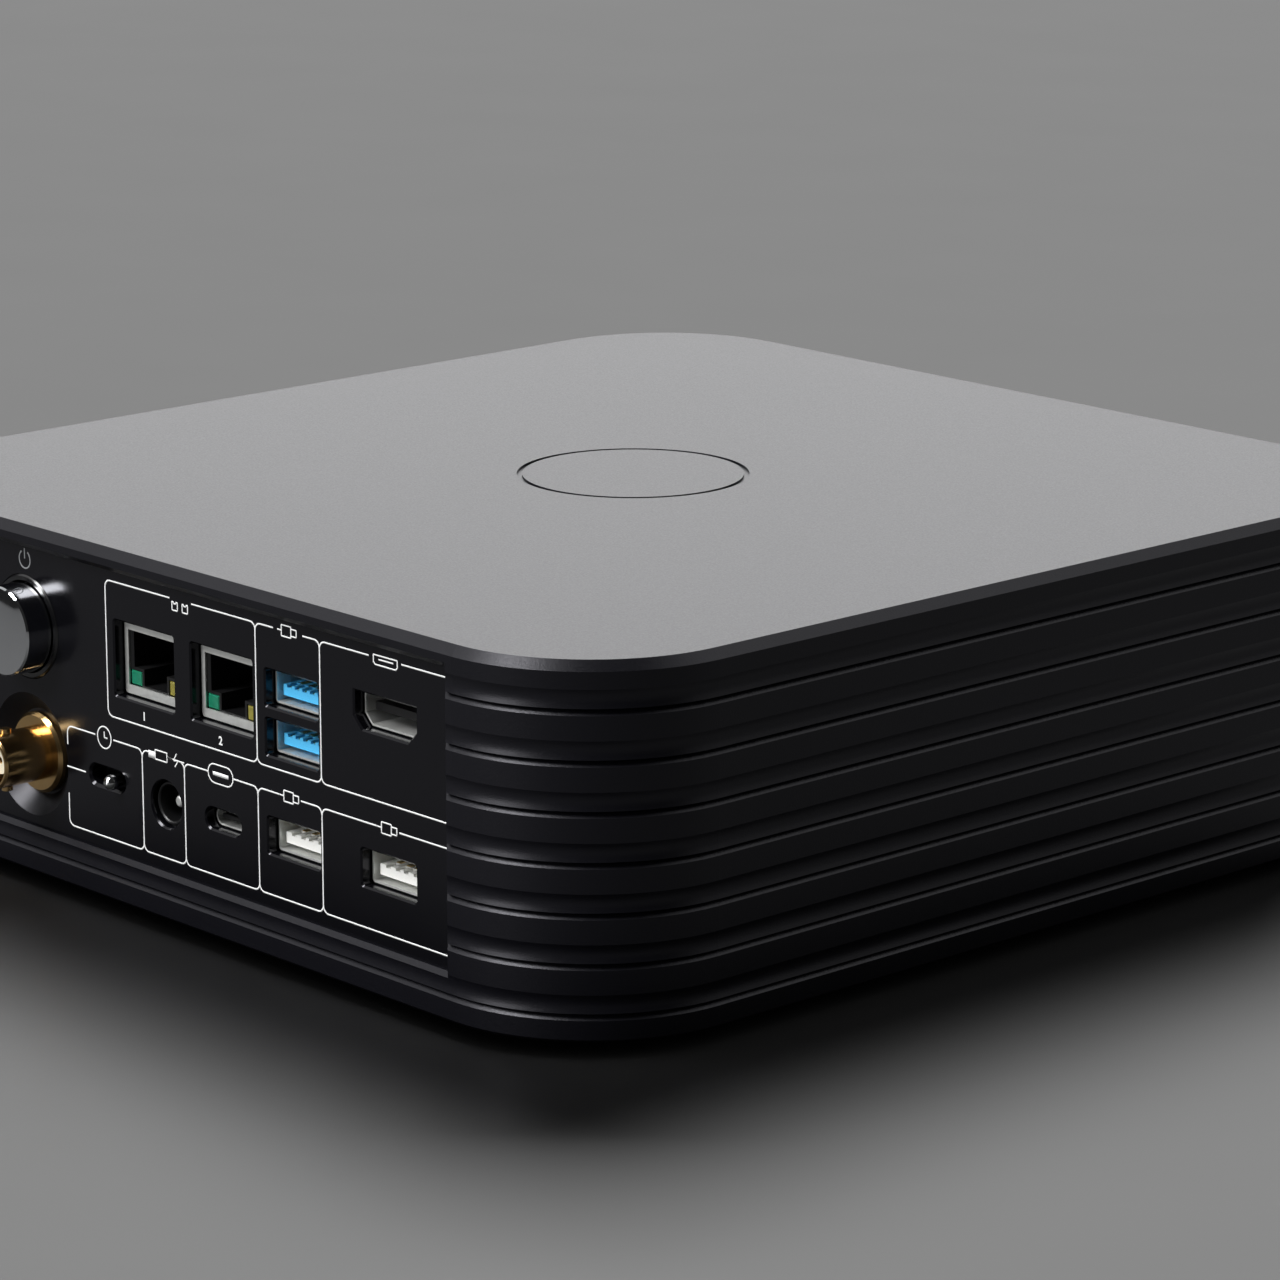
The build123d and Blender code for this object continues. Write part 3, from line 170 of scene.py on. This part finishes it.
def milled_anodised_panel():
    # Milled flat with a fine cutter and dyed black: smoother and glossier than the case,
    # so it shows soft images of the button and connector, with faint cutter lines along
    # it 0.5 mm apart
    material, tree, surface = finish(
        "milled black anodised aluminium panel",
        "#08080b",
        0.17,
        IOR=1.4,
        Specular_Tint=anodised_sheen,
    )
    place = object_place(tree)
    pits = cloud(tree, place, 0.3 * MM, 3.0)
    lines = cloud(tree, object_place(tree, (0.04, 1, 1)), 0.5 * MM)
    tint(tree, surface, cloud(tree, place, 25 * MM), "#07070a", "#0a0a0d")
    # The dish round the clock connector is turned, so it is duller, in rings 0.3 mm apart
    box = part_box("clock_connector_body")
    axis = tuple((box[0] + box[1]) / 2)
    flat_place = object_place(tree, (1, 0, 1), axis)
    reach = add(tree, "ShaderNodeVectorMath", {0: flat_place}, operation="LENGTH")
    dish_reach = 11.1 * MM
    edge = dish_reach + 0.1 * MM
    outside = spread(tree, reach.outputs["Value"], 0.0, 1.0, dish_reach, edge)
    turned = spread(tree, rings(tree, axis, 0.3 * MM), 0.34, 0.42, 0.0, 1.0)
    milled = spread(tree, lines, 0.16, 0.19)
    mixed = add(tree, "ShaderNodeMix", {0: outside, 2: turned, 3: milled}, data_type="FLOAT")
    tree.links.new(mixed.outputs[0], surface.inputs["Roughness"])
    relief(tree, surface, pits, 0.004 * MM, 0.4)
    return material


def gloss_anodised_ring():
    # Turned and bright dipped before dyeing: glossy black with fine rings round its axis
    centre = (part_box("power_button_bezel")[0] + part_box("power_button_bezel")[1]) / 2
    material, tree, surface = finish("turned gloss black anodised aluminium", "#08080a", 0.2, IOR=1.65)
    marks = rings(tree, tuple(centre), 0.3 * MM)
    tree.links.new(spread(tree, marks, 0.15, 0.26, 0.0, 1.0), surface.inputs["Roughness"])
    relief(tree, surface, marks, 0.004 * MM, 0.4)
    return material


def polished_chrome():
    # Buffed before plating: a clear mirror with the faintest cloud of handling
    material, tree, surface = finish("polished chrome plate", "#d3d5d8", 0.06, Metallic=1.0)
    place = object_place(tree)
    haze = cloud(tree, place, 3 * MM, 4.0)
    tree.links.new(spread(tree, haze, 0.03, 0.1), surface.inputs["Roughness"])
    relief(tree, surface, cloud(tree, place, 1.5 * MM), 0.003 * MM, 0.25)
    return material


def gold_plated_turned_brass():
    # Turned brass under gold: warm mirror broken by rings 0.25 mm apart
    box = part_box("clock_connector_body")
    centre = (box[0] + box[1]) / 2
    material, tree, surface = finish("gold plated turned brass", "#d2ac72", 0.18, Metallic=1.0)
    marks = rings(tree, tuple(centre), 0.25 * MM)
    wear = cloud(tree, object_place(tree), 2.5 * MM, 4.0)
    tint(tree, surface, wear, "#c49c62", "#dfbf8a")
    tree.links.new(spread(tree, marks, 0.13, 0.24, 0.0, 1.0), surface.inputs["Roughness"])
    relief(tree, surface, marks, 0.006 * MM, 0.5)
    return material


def gold_flashed_contact():
    # Stamped spring contacts with a thin gold flash: bright, a little streaked lengthwise
    material, tree, surface = finish("gold flashed contact", "#dcb56d", 0.22, Metallic=1.0)
    streaks = cloud(tree, object_place(tree, (1, 0.15, 1)), 0.15 * MM)
    tint(tree, surface, streaks, "#cfa45a", "#ecd093")
    tree.links.new(spread(tree, streaks, 0.16, 0.3), surface.inputs["Roughness"])
    return material


def tin_plated_sheet():
    # Rolled and stamped sheet, tin plated: soft bright grey with rolling streaks
    material, tree, surface = finish("tin plated sheet steel", "#e4e5e3", 0.55, Metallic=1.0)
    streaks = cloud(tree, object_place(tree, (1, 0.08, 1)), 0.4 * MM, 3.0)
    tint(tree, surface, cloud(tree, object_place(tree), 2 * MM), "#d6d7d5", "#ebece9")
    tree.links.new(spread(tree, streaks, 0.48, 0.62), surface.inputs["Roughness"])
    relief(tree, surface, streaks, 0.004 * MM, 0.5)
    return material


def moulded_plastic(name, colour, roughness, grain=0.2 * MM, depth=0.006 * MM, **sockets):
    # Moulded: the tool's fine spark texture breaks the gloss
    material, tree, surface = finish(name, colour, roughness, **sockets)
    texture = cloud(tree, object_place(tree), grain, 3.0)
    tree.links.new(
        spread(tree, texture, roughness - 0.06, roughness + 0.08), surface.inputs["Roughness"]
    )
    relief(tree, surface, texture, depth, 0.5)
    return material


def light_guide(name, colour, glow):
    # Clear tinted guide: light sinks in, and a soft core shows through the glossy face
    material, tree, surface = finish(
        name, colour, 0.14, IOR=1.49, Transmission_Weight=0.25, Subsurface_Weight=0.4
    )
    surface.inputs["Subsurface Radius"].default_value = (1.0, 1.0, 0.6)
    surface.inputs["Subsurface Scale"].default_value = 1.0 * MM
    core = cloud(tree, object_place(tree), 1.2 * MM)
    tint(tree, surface, core, colour, glow)
    relief(tree, surface, cloud(tree, object_place(tree), 0.6 * MM), 0.01 * MM, 0.4)
    return material


def screen_print_ink():
    # Screen printed epoxy ink: dense matt white with the mesh's 0.09 mm weave in its
    # surface, drawn at 0.14 mm
    material, tree, surface = finish("white screen print ink", "#f2f3f2", 0.5)
    weave = cloud(tree, object_place(tree), 0.14 * MM)
    tint(tree, surface, weave, "#ebecec", "#f6f7f6")
    relief(tree, surface, weave, 0.004 * MM, 0.5)
    return material


def painted_lip_shade_ink():
    # The power mark's ink is painted grey: painted shade of the panel's lip above it
    material, tree, surface = finish("print ink greyed as painted lip shade", "#77797b", 0.5)
    weave = cloud(tree, object_place(tree), 0.14 * MM)
    tint(tree, surface, weave, "#6a6c6e", "#828486")
    return material


def solder_resist_board():
    # Glass cloth laminate under green resist: the 0.9 mm weave and raised copper
    # tracks show through a wet gloss
    material, tree, surface = finish("glass epoxy board with green resist", "#12402a", 0.25)
    place = object_place(tree)
    tracks = add(
        tree,
        "ShaderNodeTexBrick",
        {
            "Vector": object_place(tree, turn=(0, 0, math.pi / 4)),
            "Color1": linear("#0f3824"),
            "Color2": linear("#164c33"),
            "Mortar": linear("#237047"),
            "Scale": 1.0,
            "Mortar Size": 0.12 * MM,
            "Brick Width": 2.4 * MM,
            "Row Height": 0.8 * MM,
        },
    )
    tree.links.new(tracks.outputs["Color"], surface.inputs["Base Color"])
    weave = cloud(tree, place, 0.9 * MM)
    tree.links.new(spread(tree, weave, 0.2, 0.34), surface.inputs["Roughness"])
    relief(tree, surface, tracks.outputs["Fac"], 0.035 * MM, 0.6)
    return material


def plated_metal(name, colour, roughness, streak=0.3 * MM, spotted="#b0b0ac"):
    # Barrel plated: small pieces tumble, so the shine is uneven and finely scratched
    material, tree, surface = finish(name, colour, roughness, Metallic=1.0)
    place = object_place(tree)
    scuffs = cloud(tree, place, streak, 4.0)
    tint(tree, surface, cloud(tree, place, 2.2 * MM), spotted, colour)
    tree.links.new(
        spread(tree, scuffs, roughness - 0.08, roughness + 0.1), surface.inputs["Roughness"]
    )
    relief(tree, surface, scuffs, 0.004 * MM, 0.5)
    return material


def black_oxide_steel():
    # Hot blackened: deep grey metal with an oily, slightly mottled sheen
    material, tree, surface = finish("black oxide steel", "#2b2b2e", 0.36, Metallic=1.0)
    mottle = cloud(tree, object_place(tree), 0.8 * MM, 3.0)
    tint(tree, surface, mottle, "#222225", "#36363a")
    tree.links.new(spread(tree, mottle, 0.3, 0.45), surface.inputs["Roughness"])
    return material


def foot_rubber():
    # Compression moulded rubber: matt, with dust-like bloom and a 0.5 mm skin texture
    material, tree, surface = finish("black rubber", "#141414", 0.75, IOR=1.52)
    bloom = cloud(tree, object_place(tree), 6 * MM)
    skin = cloud(tree, object_place(tree), 0.5 * MM, 3.0)
    tint(tree, surface, bloom, "#101010", "#1c1c1b")
    relief(tree, surface, skin, 0.02 * MM, 0.6)
    return material


def thermal_pad_rubber():
    # Filled silicone pad: soft grey blue, dull, with filler specks
    material, tree, surface = finish("filled silicone pad", "#8c98a6", 0.7)
    specks = cloud(tree, object_place(tree), 0.4 * MM, 4.0)
    tint(tree, surface, specks, "#7f8b99", "#9aa6b3")
    relief(tree, surface, specks, 0.02 * MM, 0.5)
    return material


finishes = {
    "black_anodised": blasted_anodised_aluminium(),
    "black_anodised_panel": milled_anodised_panel(),
    "black_bezel": gloss_anodised_ring(),
    "black_plastic": moulded_plastic("black moulded connector plastic", "#0d0d0e", 0.38),
    "black_rubber": foot_rubber(),
    "black_steel": black_oxide_steel(),
    "blue_plastic": moulded_plastic("blue moulded polyester", "#56c1f7", 0.3),
    "capacitor_sleeve": moulded_plastic("shrunk capacitor sleeve", "#151d33", 0.25),
    "chip": moulded_plastic("moulded epoxy chip", "#1b1b1c", 0.55, 0.25 * MM, 0.012 * MM),
    "chrome_cap": polished_chrome(),
    "chrome_lever": plated_metal("polished nickel lever", "#d5d6d6", 0.14, 0.5 * MM, "#c8c9c9"),
    "circuit_board": solder_resist_board(),
    "gold_contact": gold_flashed_contact(),
    "gold_plate": gold_plated_turned_brass(),
    "green_light": light_guide("green light guide", "#176b50", "#2f9a78"),
    "ivory_plastic": moulded_plastic("ivory moulded insulator", "#d9d2bd", 0.34),
    "nickel_brass": plated_metal("nickel plated brass", "#c9c4b8", 0.24, spotted="#b9b4a8"),
    "nickel_can": plated_metal("nickel plated can", "#bdbcb6", 0.26, 0.6 * MM, "#adaca6"),
    "pad_rubber": thermal_pad_rubber(),
    "spring_steel": plated_metal("bright spring wire", "#b4b4b2", 0.22, 0.2 * MM, "#a2a2a0"),
    "tin_shield": tin_plated_sheet(),
    "white_plastic": moulded_plastic("white moulded polyester", "#f6f6f2", 0.3),
    "yellow_light": light_guide("yellow light guide", "#7c7530", "#a89e4e"),
    "zinc_steel": plated_metal("zinc plated steel", "#bcc0c4", 0.28, 0.3 * MM, "#a6abb0"),
}
for subpart in frame["record"]["subparts"]:
    for holder in parts[subpart["node"]].material_slots:
        holder.material = finishes[subpart["material_slot"]]

# Printed marks of the rear panel. Each is drawn flat, x to the left as the panel is
# faced and y up, then a node tree gives it its corners, width and ink height

print_ink = screen_print_ink()
# Ink for the power mark, greyed as painted shade of the panel's lip
lip_shaded_ink = painted_lip_shade_ink()


def printed_line_tree():
    """Turns plain edges into flat printed strips with rounded corners on the panel."""
    tree = bpy.data.node_groups.new("printed strip", "GeometryNodeTree")
    for name, kind in (
        ("Drawing", "NodeSocketGeometry"),
        ("Line width", "NodeSocketFloat"),
        ("Ink height", "NodeSocketFloat"),
        ("Corner radius", "NodeSocketFloat"),
        ("Panel face", "NodeSocketFloat"),
        ("Ink", "NodeSocketMaterial"),
    ):
        tree.interface.new_socket(name, in_out="INPUT", socket_type=kind)
    tree.interface.new_socket("Print", in_out="OUTPUT", socket_type="NodeSocketGeometry")
    given = add(tree, "NodeGroupInput").outputs
    path = add(tree, "GeometryNodeMeshToCurve", {"Mesh": given["Drawing"]})
    rounded = add(
        tree,
        "GeometryNodeFilletCurve",
        {"Curve": path.outputs[0], "Radius": given["Corner radius"], "Limit Radius": True, "Count": 7},
        mode="POLY",
    )
    flat = add(tree, "GeometryNodeSetCurveNormal", {"Curve": rounded.outputs[0]}, mode="Z_UP")
    strip = add(
        tree,
        "GeometryNodeCurvePrimitiveQuadrilateral",
        {"Width": given["Line width"], "Height": given["Ink height"]},
    )
    print_mesh = add(
        tree,
        "GeometryNodeCurveToMesh",
        {"Curve": flat.outputs[0], "Profile Curve": strip.outputs[0], "Fill Caps": True},
    )
    shift = add(tree, "ShaderNodeCombineXYZ", {"Y": given["Panel face"]})
    stood = add(
        tree,
        "GeometryNodeTransform",
        {
            "Geometry": print_mesh.outputs[0],
            "Translation": shift.outputs[0],
            "Rotation": (math.pi / 2, 0, 0),
        },
    )
    real = add(tree, "GeometryNodeRealizeInstances", {"Geometry": stood.outputs[0]})
    inked = add(
        tree,
        "GeometryNodeSetMaterial",
        {"Geometry": real.outputs[0], "Material": given["Ink"]},
    )
    add(tree, "NodeGroupOutput", {"Print": inked.outputs[0]})
    return tree


strip_tree = printed_line_tree()
# Each drawing of a set lies a hair over the one before, so that crossings stay clean
layer_step = 0.002 * MM
layer_count = 5
ink_thickness = 0.04 * MM
# The ink's underside goes a hair into the panel, so that no slit shows
ink_sunk = 0.012 * MM


def plain_mesh(name, holder):
    """The finished mesh of an object with live modifiers, as a new object at the origin."""
    graph = bpy.context.evaluated_depsgraph_get()
    mesh = bpy.data.meshes.new_from_object(holder.evaluated_get(graph), depsgraph=graph)
    bpy.data.objects.remove(holder)
    mesh.name = name
    piece = bpy.data.objects.new(name, mesh)
    scene.collection.objects.link(piece)
    return piece


def print_strips(name, drawings, width, corner, ink):
    """Prints drawings, each (points, closed) in millimetres, and rides them on the case."""
    drawing = bmesh.new()
    for layer, (points, closed) in enumerate(drawings):
        lift = -layer_step * (layer % layer_count)
        corners = [drawing.verts.new((x * MM, z * MM, lift)) for x, z in points]
        for a, b in zip(corners, corners[1:] + corners[:1] if closed else corners[1:]):
            drawing.edges.new((a, b))
    sheet = bpy.data.meshes.new(name)
    drawing.to_mesh(sheet)
    drawing.free()
    holder = bpy.data.objects.new(name + " drawing", sheet)
    scene.collection.objects.link(holder)
    press = holder.modifiers.new("printed strip", "NODES")
    press.node_group = strip_tree
    sizes = {
        "Line width": width * MM,
        "Ink height": ink_thickness,
        "Corner radius": corner * MM,
        "Panel face": panel_face + ink_thickness / 2 - ink_sunk,
        "Ink": ink,
    }
    for socket in strip_tree.interface.items_tree:
        if socket.name in sizes:
            press[socket.identifier] = sizes[socket.name]
    piece = plain_mesh(name, holder)
    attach(piece, "case")
    return piece


def arc(centre, radius, start, end, steps):
    """Points of an arc, angles in degrees from the panel's left as it is faced, upwards."""
    turns = [math.radians(start + (end - start) * i / steps) for i in range(steps + 1)]
    return [(centre[0] + radius * math.cos(t), centre[1] + radius * math.sin(t)) for t in turns]


def stadium(centre, length, height, steps=8):
    """Closed outline with round ends."""
    half, r = length / 2 - height / 2, height / 2
    left = arc((centre[0] + half, centre[1]), r, -90, 90, steps)
    right = arc((centre[0] - half, centre[1]), r, 90, 270, steps)
    return left + right


# Levels and uprights of the two rows of outlined groups
upper_top, upper_low = 59.1, 35.0
lower_top, lower_low = 30.8, 12.8
network_left, network_right, usb_right = 18.1, -23.2, -40.1
clock_left, clock_right, inlet_right, type_c_right, storage_right = 30.2, 8.7, -3.1, -23.2, -40.1
row_end = -72.5
clock_mark = (19.45, 30.75)
group_outlines = [
    # Network group, with a gap in its top for the network mark
    (
        [(0.0, upper_top), (network_left, upper_top), (network_left, upper_low),
         (network_right, upper_low), (network_right, upper_top), (-6.0, upper_top)],
        False,
    ),
    # Fast USB group, with a gap for the plug mark
    (
        [(-28.0, upper_top), (network_right, upper_top), (network_right, upper_low),
         (usb_right, upper_low), (usb_right, upper_top), (-35.7, upper_top)],
        False,
    ),
    # Video group, open to the right, with a gap for the video mark
    (
        [(-52.7, upper_top), (usb_right, upper_top), (usb_right, upper_low), (row_end, upper_low)],
        False,
    ),
    ([(-60.9, upper_top), (row_end, upper_top)], False),
    # Clock group, with gaps for the clock mark and the dish
    (
        [(clock_mark[0] - 2.6, lower_top), (clock_right, lower_top), (clock_right, lower_low),
         (clock_left, lower_low), (clock_left, 18.6)],
        False,
    ),
    ([(clock_left, 27.4), (clock_left, lower_top), (clock_mark[0] + 2.6, lower_top)], False),
    # Power inlet group
    (
        [(6.8, lower_top), (clock_right, lower_top), (clock_right, lower_low),
         (inlet_right, lower_low), (inlet_right, lower_top), (1.9, lower_top)],
        False,
    ),
    # Type C group
    (
        [(-9.7, lower_top), (inlet_right, lower_top), (inlet_right, lower_low),
         (type_c_right, lower_low), (type_c_right, lower_top), (-16.5, lower_top)],
        False,
    ),
    # Storage group
    (
        [(-28.9, lower_top), (type_c_right, lower_top), (type_c_right, lower_low),
         (storage_right, lower_low), (storage_right, lower_top), (-34.6, lower_top)],
        False,
    ),
    # Audio group, open to the right
    (
        [(-54.2, lower_top), (storage_right, lower_top), (storage_right, lower_low),
         (row_end, lower_low)],
        False,
    ),
    ([(-59.9, lower_top), (row_end, lower_top)], False),
    # Link from the clock input to its switch
    ([(30.5, 23.4), (25.1, 23.4)], False),
]
print_strips("group_outlines", group_outlines, 0.29, 1.3, print_ink)


def plug_mark(x, z):
    """A plain plug: its body, its narrower tip and a stub of cord."""
    return [
        ([(x + 1.6, z + 0.95), (x - 0.9, z + 0.95), (x - 0.9, z - 0.95), (x + 1.6, z - 0.95)], True),
        ([(x - 0.9, z + 0.6), (x - 2.3, z + 0.6), (x - 2.3, z - 0.6), (x - 0.9, z - 0.6)], False),
        ([(x + 1.6, z), (x + 2.7, z)], False),
    ]


def network_mark(x, z):
    """A socket outline with a notch in its top edge."""
    return [
        (
            [(x + 0.75, z + 0.7), (x + 0.75, z - 0.75), (x - 0.75, z - 0.75), (x - 0.75, z + 0.7),
             (x - 0.35, z + 0.7), (x - 0.35, z + 0.4), (x + 0.35, z + 0.4), (x + 0.35, z + 0.7)],
            True,
        )
    ]


socket_marks = [
    # Network: two sockets side by side, each with its latch's notch
    *network_mark(-1.45, 57.9),
    *network_mark(-4.25, 57.9),
    # USB: a plug over each group
    *plug_mark(-31.8, upper_top),
    *plug_mark(-31.7, lower_top),
    *plug_mark(-57.0, lower_top),
    # Video: the outline of its plug round a bar
    (
        [(-53.9, 59.5), (-59.9, 59.5), (-59.9, 58.3), (-59.5, 57.9), (-54.3, 57.9), (-53.9, 58.3)],
        True,
    ),
    ([(-55.2, 58.85), (-58.9, 58.85)], False),
    # Clock: a dial with two hands
    (arc(clock_mark, 1.95, 0, 350, 35), True),
    ([(clock_mark[0], clock_mark[1] + 1.1), clock_mark, (clock_mark[0] - 0.9, clock_mark[1])], False),
    # Power inlet: the plug's sleeve, its cord and a bolt
    ([(5.0, 31.55), (1.7, 31.55), (1.7, 29.9), (5.0, 29.9)], True),
    ([(1.7, lower_top), (0.1, lower_top)], False),
    ([(-1.6, lower_top), (inlet_right, lower_top)], False),
    ([(-1.0, 32.0), (-0.1, 30.6), (-1.45, 30.9), (-0.5, 29.6)], False),
    # Type C: its opening round a bar
    (stadium((-13.1, 30.75), 6.8, 3.3), True),
]
print_strips("socket_marks", socket_marks, 0.26, 0.12, print_ink)

# Solid bars: the inlet plug's filled body and the type C mark's tongue
print_strips("plug_block", [([(6.9, 30.5), (5.1, 30.5)], False)], 1.25, 0.0, print_ink)
print_strips("type_c_bar", [([(-11.0, 30.75), (-15.2, 30.75)], False)], 0.7, 0.0, print_ink)

# The power mark is an open ring, its gap upwards, with a stroke in the gap
power_mark = [
    (arc((41.4, 58.55), 1.6, 122, 418, 30), False),
    ([(41.4, 60.5), (41.4, 58.7)], False),
]
# The mark's grey is painted shade of the panel's lip above it
print_strips("power_mark", power_mark, 0.3, 0.0, lip_shaded_ink)


# A figure's height as a share of the font's size, and how far its strokes are thickened
figure_share = 0.73
figure_bold = 0.05 * MM


def print_number(text, x, z, height):
    """A plain number of a socket, printed on the panel."""
    curve = bpy.data.curves.new(f"number_{text}", "FONT")
    curve.body = text
    curve.size = height / figure_share * MM
    curve.align_x = "CENTER"
    curve.align_y = "CENTER"
    curve.extrude = ink_thickness / 2
    curve.offset = figure_bold
    curve.materials.append(print_ink)
    holder = bpy.data.objects.new(f"number_{text} text", curve)
    scene.collection.objects.link(holder)
    piece = plain_mesh(f"number_{text}", holder)
    # Text reads to -X as the panel is faced, and stands up
    middle_y = panel_face + ink_thickness / 2 - ink_sunk
    stand = Matrix(((-1, 0, 0, x * MM), (0, 0, 1, middle_y), (0, 1, 0, z * MM), (0, 0, 0, 1)))
    piece.data.transform(stand)
    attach(piece, "case")
    return piece


figure_z, figure_height = 36.75, 1.5
print_number("1", 7.85, figure_z, figure_height)
print_number("2", -13.3, figure_z, figure_height)

# The button's return spring, between its seat at the switch and the cap, is copied into a mesh
# of its own that rides on the case, and the imported spring is hidden
spring_node = parts["power_button_spring"]
coil_mesh = spring_node.data.copy()
coil_mesh.name = "power_button_coil"
coil_mesh.transform(spring_node.matrix_world)
coil = bpy.data.objects.new("power_button_coil", coil_mesh)
scene.collection.objects.link(coil)
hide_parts("power_button_spring")
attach(coil, "case")
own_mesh(coil)

# Studio: a wide grey table under one lamp behind the object that lights everything, and
# lamps at the sides that light the object alone: one at the horizon behind it, two on
# its left for the panel, and dim walls that its bevels and grooves see

def studio_table():
    # Satin laminate: a soft, broad, weak reflection and a barely visible mottle
    material, tree, surface = finish(
        "grey satin laminate", "#999999", 0.4, Specular_IOR_Level=0.12
    )
    mottle = cloud(tree, object_place(tree), 60 * MM)
    tint(tree, surface, mottle, "#979797", "#9b9b9b")
    return material


table_mesh = bpy.data.meshes.new("table")
table_reach = 9.0
table_mesh.from_pydata(
    [(x * table_reach, y * table_reach, 0) for x, y in ((-1, -1), (1, -1), (1, 1), (-1, 1))],
    [],
    [(0, 1, 2, 3)],
)
table_mesh.materials.append(studio_table())
table = bpy.data.objects.new("table", table_mesh)
scene.collection.objects.link(table)


lamp_distance = 10.0


def softbox(name, azimuth, elevation, width, height, radiance):
    """An area lamp that faces the object, azimuth from +X to +Y, as bright as radiance."""
    turn, rise = math.radians(azimuth), math.radians(elevation)
    away = Vector((math.cos(turn) * math.cos(rise), math.sin(turn) * math.cos(rise), math.sin(rise)))
    lamp = bpy.data.lights.new(name, "AREA")
    lamp.shape = "RECTANGLE"
    lamp.size = width
    lamp.size_y = height
    lamp.energy = radiance * math.pi * width * height
    holder = bpy.data.objects.new(name, lamp)
    holder.location = away * lamp_distance
    holder.rotation_euler = away.to_track_quat("Z", "Y").to_euler()
    holder.visible_camera = False
    scene.collection.objects.link(holder)
    return holder


softbox("back_softbox", -45, 47, 7.0, 5.0, 8.5)
side_lamps = [
    softbox("horizon_softbox", -42.5, 15, 12.0, 4.0, 1.8),
    softbox("left_softbox", 66, 47, 3.6, 6.0, 20.0),
    softbox("front_softbox", 80, 14, 4.5, 3.4, 5.8),
    softbox("left_wall", 12, 40, 6.0, 6.0, 0.6),
    softbox("right_wall", 238, 47, 8.0, 6.0, 1.0),
    softbox("right_low_wall", 225, 13, 10.0, 4.5, 0.35),
]

# The side lamps leave the table out, so that its tone and the shadow stay the back lamp's
unlit = bpy.data.collections.new("not lit by the side lamps")
unlit.objects.link(table)
unlit.collection_objects[0].light_linking.link_state = "EXCLUDE"
for lamp in side_lamps:
    lamp.light_linking.receiver_collection = unlit

# The room is nearly dark to the object and mid grey behind it to the camera
world = bpy.data.worlds.new("studio")
world.use_nodes = True
scene.world = world
sky = world.node_tree
sky.nodes.clear()
lit = add(sky, "ShaderNodeBackground", {"Color": linear("#ffffff"), "Strength": 0.02})
seen = add(sky, "ShaderNodeBackground", {"Color": linear("#8c8c8c"), "Strength": 1.0})
ray = add(sky, "ShaderNodeLightPath")
chosen = add(
    sky,
    "ShaderNodeMixShader",
    {0: ray.outputs["Is Camera Ray"], 1: lit.outputs[0], 2: seen.outputs[0]},
)
add(sky, "ShaderNodeOutputWorld", {"Surface": chosen.outputs[0]})

scene.view_settings.view_transform = "Standard"

# Camera at the photograph's viewing angle
lens = bpy.data.cameras.new("camera")
lens.sensor_width = 36.0
lens.lens = 142.6
lens.clip_start = 0.05
lens.clip_end = 60
camera = bpy.data.objects.new("camera", lens)
camera.location = Vector((-665.4, 608.2, 262.5)) * MM
camera.rotation_euler = Vector((0.7145, -0.6549, -0.2461)).to_track_quat("-Z", "Y").to_euler()
scene.collection.objects.link(camera)
scene.camera = camera
